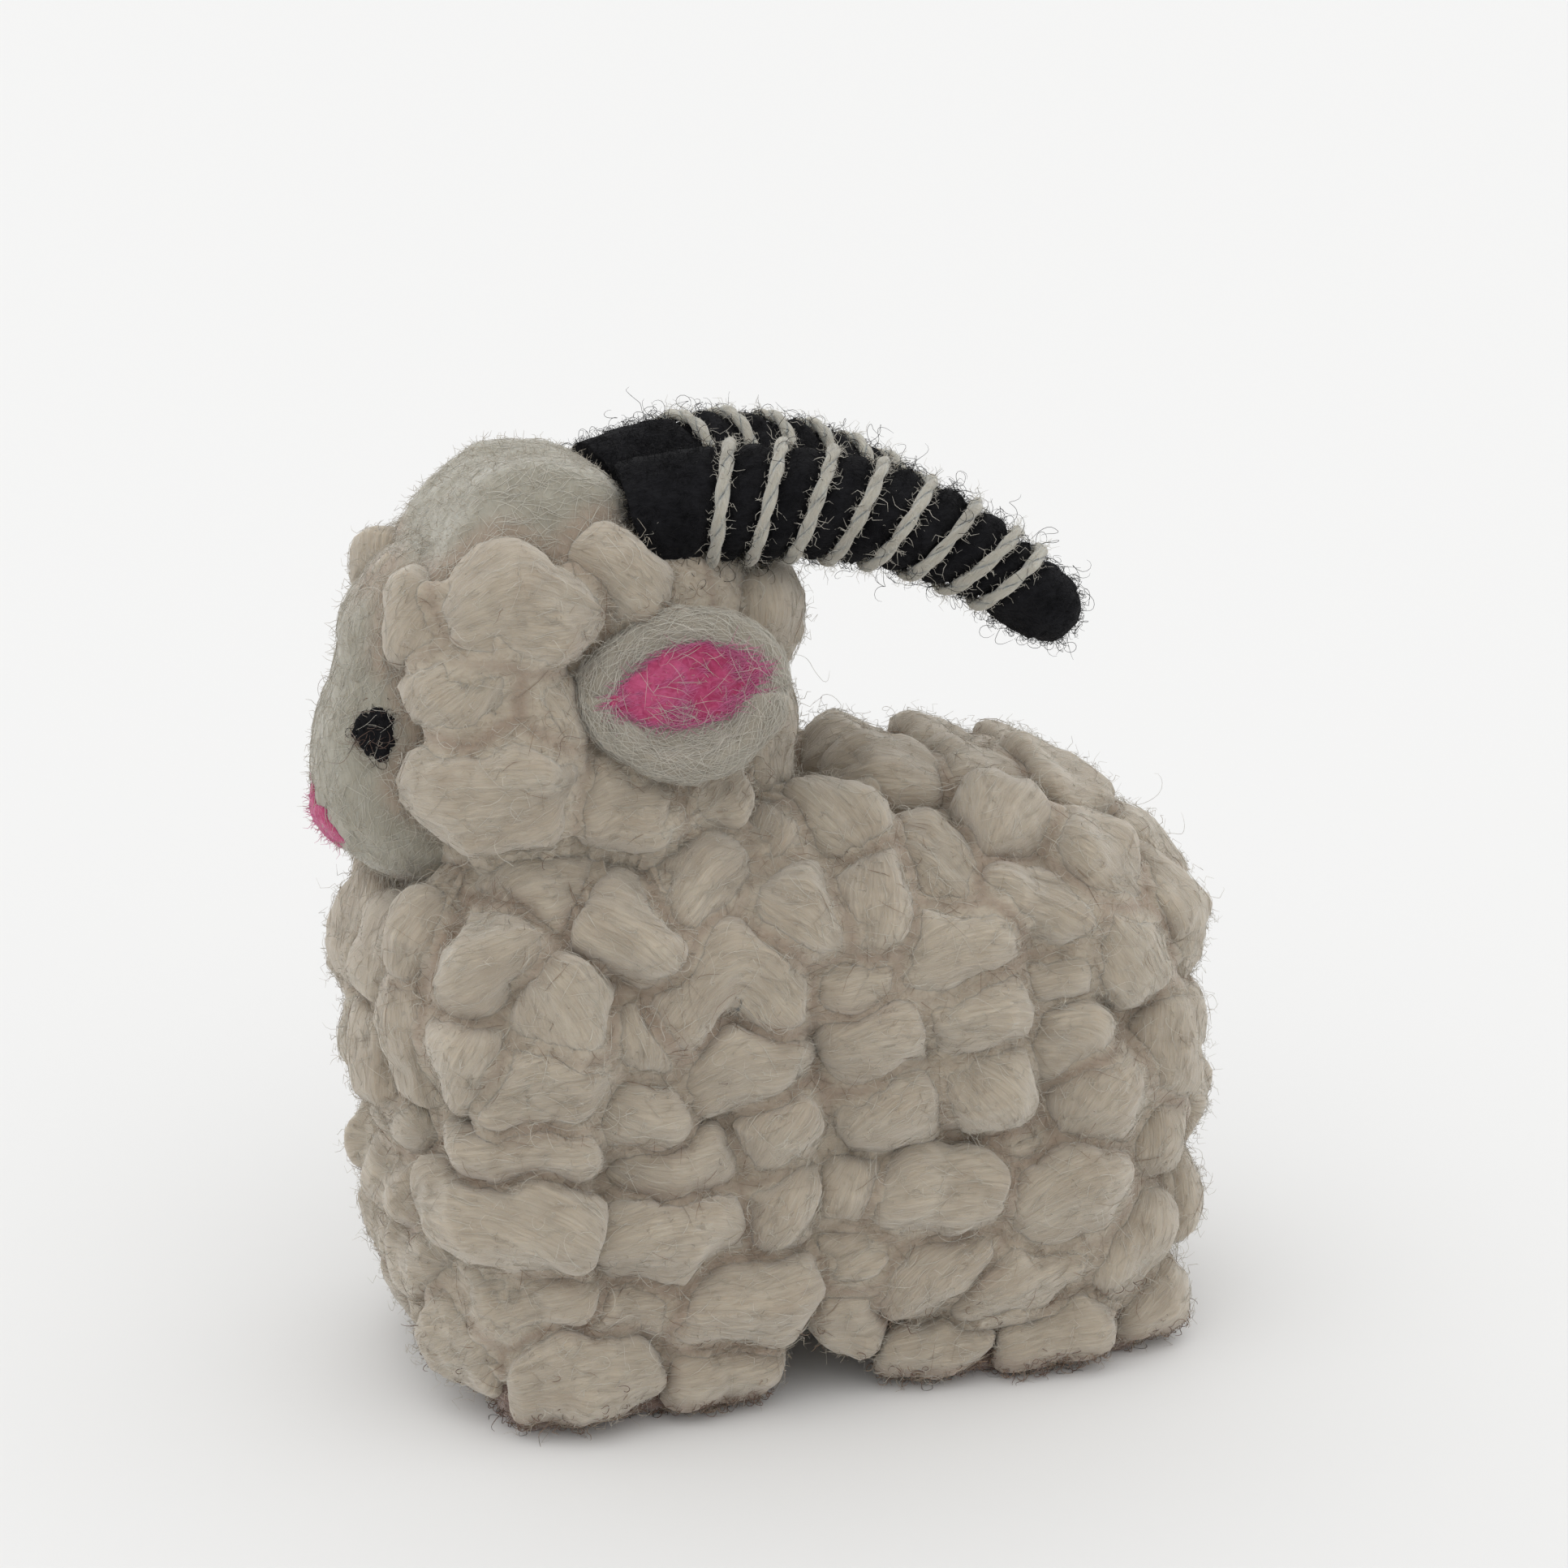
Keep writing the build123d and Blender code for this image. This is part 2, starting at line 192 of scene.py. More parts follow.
def joined(surfaces):
    """Several surfaces as one."""
    faces = {3: [], 4: []}
    start = 0
    for surface in surfaces:
        for face in surface.faces:
            faces[face.shape[1]].append(face + start)
        start += len(surface.points)
    return Surface(
        np.concatenate([s.points for s in surfaces]),
        [np.concatenate(kind) for kind in faces.values() if kind],
        np.concatenate([s.comb for s in surfaces]),
        np.concatenate([s.run for s in surfaces]),
        np.concatenate([s.groove for s in surfaces]),
    )


def build(name, surface, material, replaces=()):
    """Makes a piece of the object from a surface, riding on the body."""
    mesh = bpy.data.meshes.new(name)
    mesh.vertices.add(len(surface.points))
    mesh.vertices.foreach_set("co", (surface.points * MM).astype(np.float32).ravel())
    corners = np.concatenate([f.ravel() for f in surface.faces])
    sizes = np.concatenate([np.full(len(f), f.shape[1]) for f in surface.faces])
    mesh.loops.add(len(corners))
    mesh.loops.foreach_set("vertex_index", corners.astype(np.int32))
    mesh.polygons.add(len(sizes))
    mesh.polygons.foreach_set("loop_start", (np.cumsum(sizes) - sizes).astype(np.int32))
    mesh.polygons.foreach_set("use_smooth", np.ones(len(sizes), bool))
    mesh.update(calc_edges=True)
    comb = mesh.attributes.new("comb", "FLOAT_VECTOR", "POINT")
    comb.data.foreach_set("vector", surface.comb.astype(np.float32).ravel())
    groove = mesh.attributes.new("groove", "FLOAT", "POINT")
    groove.data.foreach_set("value", surface.groove.astype(np.float32))
    mesh.materials.append(material)
    piece = bpy.data.objects.new(name, mesh)
    bpy.context.scene.collection.objects.link(piece)
    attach(piece, BODY_NAME)
    if replaces:
        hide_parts(*replaces)
    return piece


def grid_faces(rows, columns, offset=0):
    """Quads of a grid that closes round its columns."""
    i, j = np.meshgrid(np.arange(rows - 1), np.arange(columns), indexing="ij")
    k = (j + 1) % columns
    corner = [i * columns + j, i * columns + k, (i + 1) * columns + k, (i + 1) * columns + j]
    return np.stack(corner, -1).reshape(-1, 4) + offset


def capped_grid(grid, first, last):
    """Points and faces of a closed form: rings of points between a first and a last one."""
    rows, columns = grid.shape[:2]
    points = np.concatenate([grid.reshape(-1, 3), [first], [last]])
    j = np.arange(columns)
    k = (j + 1) % columns
    start = np.stack([np.full(columns, rows * columns), k, j], -1)
    base = (rows - 1) * columns
    end = np.stack([base + j, base + k, np.full(columns, rows * columns + 1)], -1)
    return points, [grid_faces(rows, columns), np.concatenate([start, end])]


def closed(rows, flipped=False):
    """Points and faces of a closed form from rings of points, turned inside out where it has to be."""
    grid = np.stack(rows)
    points, faces = capped_grid(grid, grid[0].mean(0), grid[-1].mean(0))
    return points, [f[:, ::-1] for f in faces] if flipped else faces


def rounded_block(low, high, rounding, step):
    """Points and quads of a block with rounded edges, with a point about every step."""
    size = high - low
    count = np.maximum(np.round(size / step).astype(int), 2)
    quads = []
    for axis in range(3):
        u, v = (axis + 1) % 3, (axis + 2) % 3
        i, j = np.meshgrid(np.arange(count[u]), np.arange(count[v]), indexing="ij")
        for end in (0, 1):
            quad = np.zeros(i.shape + (4, 3), int)
            quad[..., axis] = end * count[axis]
            order = ((0, 0), (1, 0), (1, 1), (0, 1)) if end else ((0, 0), (0, 1), (1, 1), (1, 0))
            for corner, (du, dv) in enumerate(order):
                quad[..., corner, u] = i + du
                quad[..., corner, v] = j + dv
            quads.append(quad.reshape(-1, 3))
    places, index = np.unique(np.concatenate(quads), axis=0, return_inverse=True)
    points = low + places / count * size
    inner = np.clip(points, low + rounding, high - rounding)
    return inner + unit(points - inner) * rounding, [index.reshape(-1, 4)]


def block_distance(points, low, high, rounding):
    """How far points are outside a rounded block."""
    centre, half = (low + high) / 2, (high - low) / 2 - rounding
    q = np.abs(points - centre) - half
    outside = np.linalg.norm(np.maximum(q, 0), axis=-1)
    return outside + np.minimum(q.max(-1), 0) - rounding


def node_box(name):
    """A CAD node's lowest and highest corners in millimetres."""
    low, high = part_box(name)
    return np.array(low) / MM, np.array(high) / MM


def node_points(name):
    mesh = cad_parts[name].data
    points = np.zeros(len(mesh.vertices) * 3)
    mesh.vertices.foreach_get("co", points)
    return points.reshape(-1, 3) / MM


# ---------------------------------------------------------------- where things are

body_low, body_high = node_box("body_core")
head_low, head_high = node_box("head_core")
head_low = np.array([head_low[0], head_low[1], 52.0])
muzzle_low, muzzle_high = node_box("muzzle")
muzzle_high = np.array([muzzle_high[0], head_low[1] + 8, muzzle_high[2]])
crown_low, crown_high = node_box("crown_tuft")


def horn_place(t, mirror):
    """Centre, forward, inward and upward direction of a horn at fractions of the way along it."""
    a, b, c = (np.array(p, float) for p in HORN_ARC)
    normal = unit(np.cross(b - a, c - a))
    # the middle of the circle through the three points
    ab, ac = b - a, c - a
    cross = np.cross(ab, ac)
    to_middle = np.cross(cross, ab) * (ac @ ac) + np.cross(ac, cross) * (ab @ ab)
    to_middle = to_middle / (2 * (cross @ cross))
    middle = a + to_middle
    radius = np.linalg.norm(to_middle)
    start = unit(a - middle)
    ahead = unit(np.cross(normal, start))
    end = c - middle
    sweep = math.atan2(end @ ahead, end @ start)
    angle = np.asarray(t)[..., None] * sweep
    centre = middle + radius * (np.cos(angle) * start + np.sin(angle) * ahead)
    forward = unit(np.sin(angle) * -start + np.cos(angle) * ahead)
    inward = unit(np.cross(UP, forward))
    upward = np.cross(forward, inward)
    flip = np.array([mirror, 1, 1])
    return centre * flip, forward * flip, inward * flip, upward * flip


def horn_length():
    centre = horn_place(np.linspace(0, 1, 60), 1)[0]
    return np.linalg.norm(np.diff(centre, axis=0), axis=1).sum()


def horn_radius(t):
    """The horn's radius, drawn in to a rounded tip past its end."""
    body = np.interp(t, np.linspace(0, 1, len(HORN_RADII)), HORN_RADII)
    past = np.clip((t - 1) * horn_length() / HORN_RADII[-1], 0, 1)
    return body * np.sqrt(1 - past**2)


def yarn_place(turns):
    """How far along the horn the yarn is after some turns."""
    angle = -2 * math.pi * turns
    close = np.maximum(turns - YARN_TURNS + 1, 0)
    return (
        YARN_START
        + YARN_PITCH * (turns - close - 0.25)
        + YARN_LAST_PITCH * close
        + YARN_LEAN * np.sin(angle)
    )


class Ear:
    """An ear's place: its middle, the way back along it, up across it and out of its hollow."""

    def __init__(self, side):
        mirror = SIDES[side]
        lining = node_points(side + "_ear_lining")
        low, high = lining.min(0), lining.max(0)
        centred = lining - lining.mean(0)
        axes = np.linalg.svd(centred, full_matrices=False)[2]
        self.back = axes[0] * np.sign(axes[0][1])
        self.out = axes[2] * np.sign(axes[2][0]) * mirror
        self.up = unit(np.cross(self.out, self.back)) * mirror
        self.up *= np.sign(self.up[2])
        self.flipped = self.out @ np.cross(self.back, self.up) > 0
        self.middle = (low + high) / 2
        ear_low, ear_high = node_box(side + "_ear")
        self.length = ear_high[1] - ear_low[1]
        self.height = ear_high[2] - ear_low[2]

    def place(self, back, up, out):
        back, up, out = (np.asarray(v)[..., None] for v in (back, up, out))
        return self.middle + back * self.back + up * self.up + out * self.out


ears = {side: Ear(side) for side in SIDES}


# ---------------------------------------------------------------- locks of wool


class Host:
    """What locks lie on: a rounded block, with how the locks on it puff up."""

    def __init__(self, low, high, rounding, flat, crease):
        self.low, self.high, self.rounding = low, high, rounding
        self.flat = flat  # how much less a lock stands out than it spreads
        self.crease = crease  # rounding of a lock's shoulder at a crease

    def height(self, p):
        return block_distance(p, self.low, self.high, self.rounding)

    def outward(self, p):
        steps = np.eye(3) * 0.5
        return unit(np.array([self.height(p + s) - self.height(p - s) for s in steps]))


# both reach down past the lowest locks, which face sideways too
body_host = Host(body_low - [0, 0, 22], body_high, rounding=12, flat=1.25, crease=2.6)
head_host = Host(head_low - [0, 0, 12], head_high, rounding=9, flat=1.4, crease=3.8)


class Lock:
    """A lock of wool read from its CAD solid, which is a round bar bent in an arc."""

    def __init__(self, points, normals, seed):
        rng = np.random.default_rng(seed)
        middle = points.mean(0)
        axes = np.linalg.svd(points - middle, full_matrices=False)[2]
        radius = np.ptp((points - middle) @ axes[2]) / 2
        inner = points - normals * radius - middle
        along, aside = inner @ axes[0], inner @ axes[1]
        curve = np.polyfit(along, aside, 2)
        a = np.linspace(along.min(), along.max(), LINE_POINTS)
        self.line = middle + a[:, None] * axes[0] + np.polyval(curve, a)[:, None] * axes[1]
        self.seed = seed
        self.radius = radius
        centre = self.line.mean(0)
        high_up = centre[2] > body_high[2] + 4.8 and centre[1] < head_high[1] + 8
        self.host = head_host if high_up else body_host
        self.out = self.host.outward(self.line[LINE_POINTS // 2])
        along_share = np.linspace(-1, 1, LINE_POINTS)
        lean = 0.10 * rng.uniform(-1, 1)
        taper = 1 - 0.10 * np.abs(along_share) ** 3 + lean * along_share
        lumps = 1 + 0.05 * rng.uniform(-1, 1, LINE_POINTS)
        self.radii = radius * LOCK_FULL * taper * lumps * (1 + 0.05 * rng.uniform(-1, 1))
        self.line = self.line + self.out * rng.uniform(*LOCK_SHIFT)
        self.heights = self.host.height(self.line)

    def outside(self, p, height):
        """Roughly how far points are outside the lock's full form, less than zero inside it."""
        height = height[self.host]
        best = np.full(len(p), np.inf)
        for i in range(LINE_POINTS - 1):
            ab = self.line[i + 1] - self.line[i]
            from_a = p - self.line[i]
            t = np.clip(from_a @ ab / (ab @ ab), 0, 1)
            apart = ((from_a - t[:, None] * ab) ** 2).sum(1)
            rise = height - (self.heights[i] + (self.heights[i + 1] - self.heights[i]) * t)
            level = np.sqrt(np.maximum(apart - rise**2, 0))
            stretched = np.where(rise > 0, rise * self.host.flat, -rise)
            reach = np.sqrt(level**2 + stretched**2)
            best = np.minimum(best, reach - (self.radii[i] + (self.radii[i + 1] - self.radii[i]) * t))
        return best

    def near(self, other):
        gap = np.linalg.norm(self.line[:, None] - other.line[None], axis=-1).min()
        return gap < 0.72 * (self.radii.max() + other.radii.max())

    def rays(self):
        """Starts and directions of the rays that the lock's skin is found along, as a grid."""
        tangent = unit(np.gradient(self.line, axis=0))
        share = np.linspace(0, LINE_POINTS - 1, LOCK_SIDE_ROWS)
        index = np.minimum(share.astype(int), LINE_POINTS - 2)
        f = (share - index)[:, None]
        start = self.line[index] * (1 - f) + self.line[index + 1] * f
        run = unit(tangent[index] * (1 - f) + tangent[index + 1] * f)
        before, after = np.repeat([0], LOCK_CAP_ROWS), np.repeat([LOCK_SIDE_ROWS - 1], LOCK_CAP_ROWS)
        order = np.concatenate([before, np.arange(LOCK_SIDE_ROWS), after])
        start, run = start[order], run[order]
        bow = np.linspace(0, math.pi / 2, LOCK_CAP_ROWS + 2)[1:-1]
        lean = np.concatenate([-np.cos(bow), np.zeros(LOCK_SIDE_ROWS), np.cos(bow[::-1])])
        out = unit(self.out - (run @ self.out)[:, None] * run)
        side = np.cross(run, out)
        angle = math.pi + 2 * math.pi * np.arange(LOCK_COLUMNS) / LOCK_COLUMNS
        ring = np.cos(angle)[None, :, None] * out[:, None] + np.sin(angle)[None, :, None] * side[:, None]
        upright = np.sqrt(1 - lean**2)
        direction = ring * upright[:, None, None] + run[:, None] * lean[:, None, None]
        starts = np.repeat(start[:, None], LOCK_COLUMNS, 1)
        return starts, unit(direction), run, angle


def read_locks(name, seed):
    """The locks of one node."""
    mesh = bmesh.new()
    mesh.from_mesh(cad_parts[name].data)
    bmesh.ops.remove_doubles(mesh, verts=mesh.verts, dist=1e-6)
    mesh.normal_update()
    mesh.verts.ensure_lookup_table()
    seen = np.zeros(len(mesh.verts), bool)
    locks = []
    for vertex in mesh.verts:
        if seen[vertex.index]:
            continue
        island, stack = [], [vertex]
        seen[vertex.index] = True
        while stack:
            here = stack.pop()
            island.append(here)
            for edge in here.link_edges:
                there = edge.other_vert(here)
                if not seen[there.index]:
                    seen[there.index] = True
                    stack.append(there)
        points = np.array([v.co for v in island]) / MM
        normals = np.array([v.normal for v in island])
        locks.append(Lock(points, normals, seed + len(locks)))
    mesh.free()
    return locks


def ear_outside(p):
    """How far points are outside the room that the locks leave for the ears."""
    best = np.full(len(p), np.inf)
    for ear in ears.values():
        d = p - ear.middle
        along, across, out = d @ ear.back, d @ ear.up, d @ ear.out + 1.5
        depth = np.minimum(out, 0) / 30 + np.maximum(out, 0) / 6
        scale = np.sqrt((along / 9.6) ** 2 + (across / 8.4) ** 2 + depth**2)
        best = np.minimum(best, (scale - 1) * 7)
    return best


def horn_outside(p):
    best = np.full(len(p), np.inf)
    for mirror in SIDES.values():
        for centre in horn_place(np.linspace(0, 1, 8), mirror)[0]:
            best = np.minimum(best, np.linalg.norm(p - centre, axis=1) - HORN_RADII[0])
    return best


def others_outside(p):
    """How far points are outside the smooth pieces that the locks press against."""
    face = block_distance(p, muzzle_low - 0.4, muzzle_high + [0.4, 0.4, 3.0], 8.4)
    crown = block_distance(p, crown_low - [1.4, 1.4, 4], crown_high + [1.4, 1, 0.3], 6.5)
    return np.minimum(np.minimum(face, crown), np.minimum(ear_outside(p), horn_outside(p)))


def lock_surface(lock, neighbours):
    """The puffed skin of a lock, pressed flat where it meets its neighbours."""
    starts, directions, run, angle = lock.rays()
    shape = starts.shape
    s = np.concatenate([starts.reshape(-1, 3), lock.line[:1], lock.line[-1:]])
    d = np.concatenate([directions.reshape(-1, 3), -run[:1], run[-1:]])

    def reaches(p):
        """How far places are outside this lock, and outside whatever else is nearest."""
        moved = wander(p)
        height = {host: host.height(moved) for host in (body_host, head_host)}
        nearest = others_outside(p)
        for other in neighbours:
            nearest = np.minimum(nearest, other.outside(moved, height))
        return lock.outside(moved, height), nearest

    def outside(t):
        p = s + d * t[:, None]
        own, nearest = reaches(p)
        total = smooth_max(own, (own - nearest) / 2 + CREASE, lock.host.crease)
        return smooth_max(total, FLOOR_CLEAR - p[:, 2], 2.0)

    low = np.full(len(s), SKIN_SEARCH[0])
    high = np.full(len(s), SKIN_SEARCH[1] * lock.radii.max())
    for _ in range(SKIN_HALVINGS):
        middle = (low + high) / 2
        inside = outside(middle) < 0
        low = np.where(inside, middle, low)
        high = np.where(inside, high, middle)
    p = s + d * low[:, None]

    length = np.linalg.norm(np.diff(lock.line, axis=0), axis=1).sum()
    cap = lock.radius * 1.3
    along = np.concatenate(
        [
            np.linspace(-cap, 0, LOCK_CAP_ROWS, endpoint=False),
            np.linspace(0, length, LOCK_SIDE_ROWS),
            np.linspace(length, length + cap, LOCK_CAP_ROWS + 1)[1:],
        ]
    )
    comb = np.full(shape, lock.seed * 7.3)
    comb[..., 0] = along[:, None]
    comb[..., 1] = lock.radius * 1.25 * angle
    comb = comb.reshape(-1, 3)
    comb = np.concatenate([comb, [comb[0] - [0.5, 0, 0]], [comb[-1] + [0.5, 0, 0]]])
    swirl = comb + 0.8 * np.stack([noise(p, 3.0, 5 + i) for i in range(3)], -1)
    own_place = p + lock.seed
    lump = 0.35 * noise(own_place, 4.0, 6) + 0.30 * noise(own_place, 2.2, 1) + 0.16 * noise(p, 1.1, 2)
    fold = 0.55 * (0.4 - np.abs(noise(swirl * [0.4, 1.0, 1], 3.4, 8)))
    strand = fold + 0.11 * noise(swirl * [0.22, 1.0, 1], 0.95, 3)
    strand = strand + 0.05 * noise(swirl * [0.3, 1, 1], 0.45, 4)
    p = p + d * (lump + strand)[:, None]
    own, nearest = reaches(p)
    # painted shade: the lock darkens towards the crease with its neighbour
    groove = faded(1 - smoothstep(*GROOVE_SPAN, nearest - own), p)
    lie = np.concatenate([np.repeat(run, LOCK_COLUMNS, 0), run[:1], run[-1:]])
    points, faces = capped_grid(p[:-2].reshape(shape), p[-2], p[-1])
    return Surface(points, faces, comb, lie, groove)


def faded(groove, points):
    """Painted crease shade that comes and goes: some creases are darkened and others hardly show."""
    return groove * np.clip(0.85 + 0.6 * noise(points, 7.0, 33), 0.1, 1.15)


def closest(points, locks):
    """How far places are outside the nearest lock and the next nearest."""
    first, second = np.full(len(points), 9.0), np.full(len(points), 9.0)
    moved = wander(points)
    height = {host: host.height(moved) for host in (body_host, head_host)}
    for lock in locks:
        apart = np.linalg.norm(points - lock.line[LINE_POINTS // 2], axis=1)
        near = np.flatnonzero(apart < lock.radii.max() + 14)
        outside = lock.outside(moved[near], {lock.host: height[lock.host][near]})
        second[near] = np.minimum(second[near], np.maximum(first[near], outside))
        first[near] = np.minimum(first[near], outside)
    return first, second


def make_locks(locks):
    """Every lock's skin, by node."""
    every = [lock for group in locks.values() for lock in group]
    made = {}
    for name, group in locks.items():
        made[name] = [
            settled(lock_surface(lock, [o for o in every if o is not lock and lock.near(o)]))
            for lock in group
        ]
    return made


def settled(surface):
    """The fleece as it has settled: rounder over the rump and drawn in at the foot of the chest.

    Its hem takes the creases' painted shade, darker towards the floor.
    """
    p = surface.points
    # painted shade: the fleece darkens over its lowest few millimetres
    surface.groove = np.maximum(surface.groove, smoothstep(4.0, 1.2, p[:, 2]) * 1.3)
    rump = smoothstep(12, 46, p[:, 1]) * smoothstep(36, 66, p[:, 2])
    foot = smoothstep(14, 46, -p[:, 1]) * smoothstep(36, 2, p[:, 2])
    surface.points = p + np.stack([0 * rump, 4.0 * foot - 2.6 * rump, -3.6 * rump], -1)
    return surface


# ---------------------------------------------------------------- smooth pieces


def roughened(points, faces, lumps, seed, flat_floor=None):
    """A surface with soft lumps: pairs of size and height, along its normals."""
    surface = Surface(points, faces)
    normals = surface.normals()
    height = sum(h * noise(points, size, seed + i) for i, (size, h) in enumerate(lumps))
    surface.points = points + normals * height[:, None]
    if flat_floor is not None:
        surface.points[:, 2] = np.maximum(surface.points[:, 2], flat_floor)
    return surface


def webbed(points, faces, locks, sunk):
    """Felt drawn out from a plain form into the creases between locks, to a depth under their skin."""
    surface = Surface(points, faces)
    normals = surface.normals()
    rises = np.linspace(0, 5.5, WEB_LEVELS)
    levels = points[:, None] + normals[:, None] * rises[None, :, None]
    total = np.zeros(levels.shape[:2])
    for lock in locks:
        apart = np.linalg.norm(points[:, None] - lock.line[None, ::2], axis=-1).min(1)
        close = np.flatnonzero(apart < lock.radii.max() + 4)
        moved = wander(levels[close].reshape(-1, 3))
        outside = lock.outside(moved, {lock.host: lock.host.height(moved)})
        total[close] += np.exp(-np.clip(outside, -20, 20) / WEB_ROUND).reshape(-1, WEB_LEVELS)
    uneven = 0.5 * noise(points, 8.0, 31)
    depth = -WEB_ROUND * np.log(total + 1e-9) + (sunk + uneven)[:, None]
    inside = depth < 0
    last = np.where(inside.any(1), WEB_LEVELS - 1 - inside[:, ::-1].argmax(1), 0)
    row = np.arange(len(points))
    here, beyond = depth[row, last], depth[row, np.minimum(last + 1, WEB_LEVELS - 1)]
    share = np.where(inside.any(1), np.clip(-here / np.maximum(beyond - here, 1e-6), 0, 1), 0)
    rise = rises[last] + share * rises[1]
    lumps = ((3.5, 0.2), (1.6, 0.2), (0.8, 0.1))
    made = roughened(points + normals * rise[:, None], faces, lumps, 21)
    first, second = closest(made.points, locks)
    # painted shade: the felt darkens where it lies between two locks
    made.groove = faded(1 - smoothstep(*GROOVE_SPAN, second - first), made.points)
    return made


def body_underwool(locks):
    """The felt between the body's locks."""
    low, high = body_low - [2.4, 2.4, 2.6], body_high + 2.4
    return webbed(*rounded_block(low, high, 13, WEB_STEP), locks, sunk=1.45)


def head_underwool(locks):
    """The felt between the head's locks."""
    low, high = head_low - [1.8, 1.4, 0], head_high + [1.8, 1.8, 1.4]
    return webbed(*rounded_block(low, high, 10, WEB_STEP), locks, sunk=1.35)


def leg_underwool(name, mirror):
    """A stub leg with a flat, softly rounded sole."""
    low, high = node_box(name)
    low, high = low - [1.6, 2.6, 1.4], high + [1.6, 2.6, 2]
    outer = high if mirror > 0 else low
    outer[0] += mirror
    points, faces = rounded_block(low, high, 5, 0.6)
    lumps = ((4, 0.5), (1.5, 0.3), (0.7, 0.1))
    surface = roughened(points, faces, lumps, 41 + mirror, flat_floor=0.0)
    # painted shade: the whole leg, under the body, takes the dark groove colour
    surface.groove[:] = 1
    return surface


def shaded_under_locks(surface, locks):
    """A smooth piece with painted shade where it runs under the locks."""
    surface.groove = 0.8 * (1 - smoothstep(-0.5, 3.5, closest(surface.points, locks)[0]))
    return surface


def muzzle_form(locks):
    """The smooth face, from the chin up to the forehead, where it slopes back under the crown."""
    low = muzzle_low - [0.4, 0.1, 0.4]
    high = np.array([muzzle_high[0] + 0.4, muzzle_high[1] + 4, MUZZLE_TOP])
    points, faces = rounded_block(low, high, 8.8, 0.5)
    height = points[:, 2]
    back = 3.6 * smoothstep(66, 80, height) + 3.0 * smoothstep(80, 90, height)
    chin = 1.8 * (1 - smoothstep(low[2], low[2] + 8, height))
    share = smoothstep(high[1], low[1], points[:, 1])
    points[:, 1] += (back + chin) * share
    points[:, 0] *= 1 + 0.08 * np.cos((height - low[2] - 12) / 12)
    surface = roughened(points, faces, ((6, 0.4), (2.2, 0.2), (0.9, 0.08)), 51)
    surface.comb = surface.points * [1, 0.5, 0.35]
    surface.run = np.tile([0.0, 0.35, 0.9], (len(points), 1))
    return shaded_under_locks(surface, locks)


def crown_form(locks):
    """The smooth tuft on top of the head."""
    low = crown_low - [2.8, 1.4, 10]
    high = crown_high + [2.8, 2.4, -0.3]
    points, faces = rounded_block(low, high, 6.2, 0.5)
    flare = 1 - smoothstep(crown_low[2] - 3, crown_high[2] - 2, points[:, 2])
    in_front = points[:, 1] < crown_low[1] + 6
    points[:, 1] = np.where(in_front, points[:, 1] - 4.5 * flare, points[:, 1])
    points[:, 0] *= 1 + 0.12 * flare
    surface = roughened(points, faces, ((6, 0.7), (2.4, 0.3), (0.9, 0.1)), 61)
    surface.comb = surface.points * [1, 0.4, 0.6]
    return shaded_under_locks(surface, locks)


def ear_skin_height(ear, back, up):
    """How far the ear's hollow face stands out at places on it."""
    across = np.sqrt((back / (ear.length / 2)) ** 2 + (up / (ear.height / 2)) ** 2)
    rim = np.exp(-(((across - 0.84) / 0.20) ** 2))
    lift = np.where(up < 0, 1.5, 1.0)
    return -0.5 + lift * 1.25 * rim


def ear_form(side):
    """A cupped flap with a thick rolled rim."""
    ear = ears[side]
    angle = 2 * math.pi * np.arange(120) / 120
    front_end = smoothstep(0.0, 1.0, -np.cos(angle))
    narrow = 1 - 0.16 * front_end
    wobble = 1 + 0.03 * np.sin(2 * angle + 1) + 0.025 * np.sin(3 * angle)
    rolled = 0.84 + 0.22 * np.sin(np.linspace(0.12, 1, 12) * math.pi / 2)
    front = np.concatenate([np.linspace(0.03, 0.84, 26), rolled])
    rolled = 0.84 + 0.22 * np.cos(np.linspace(0.1, 1, 12) * math.pi / 2)
    behind = np.concatenate([rolled, np.linspace(0.80, 0.03, 20)])
    half = np.array([ear.length / 2, ear.height / 2])

    def ring(share):
        return share * half[0] * np.cos(angle) * wobble, share * half[1] * np.sin(angle) * wobble * narrow

    rows = []
    for k, share in enumerate(front):
        back, up = ring(share)
        height = ear_skin_height(ear, back, up)
        if k >= 26:
            height = ear_skin_height(ear, *ring(0.84))
            height = height - 1.3 * (1 - math.cos((k - 25) / 12 * math.pi / 2))
        rows.append(ear.place(back, up, height - 1.2 * share * front_end))
    for k, share in enumerate(behind):
        back, up = ring(share)
        height = ear_skin_height(ear, *ring(0.84)) - 1.3
        height = height - 1.9 * math.sin(min((k + 1) / 12, 1) * math.pi / 2)
        rows.append(ear.place(back, up, height - 1.2 * share * front_end))
    points, faces = closed(rows, ear.flipped)
    surface = roughened(points, faces, ((5, 0.3), (1.8, 0.22), (0.8, 0.08)), 71)
    comb = np.full((len(rows), len(angle), 3), 3.0)
    comb[..., 0] = angle * 7
    comb[..., 1] = np.concatenate([front, 2 - behind])[:, None] * 8
    comb = comb.reshape(-1, 3)
    surface.comb = np.concatenate([comb, comb[:1], comb[-1:]])
    tangent = -np.sin(angle)[:, None] * ear.back + np.cos(angle)[:, None] * ear.up
    lie = np.tile(tangent, (len(rows), 1))
    surface.run = np.concatenate([lie, lie[:1], lie[-1:]])
    return surface


def leaf_edge(angle):
    """The lining's outline as a share of the ear: pointed in front, full behind, with ragged edges."""
    back = np.cos(angle)
    up = np.sin(angle)
    width = np.where(up > 0, 0.50, 0.46) * (1 - 0.42 * smoothstep(0.1, 1.0, -back))
    ragged = 1 + 0.03 * np.sin(5 * angle + 0.6) + 0.02 * np.sin(11 * angle) + 0.02 * np.sin(23 * angle)
    return 0.80 * back * ragged, width * up * ragged


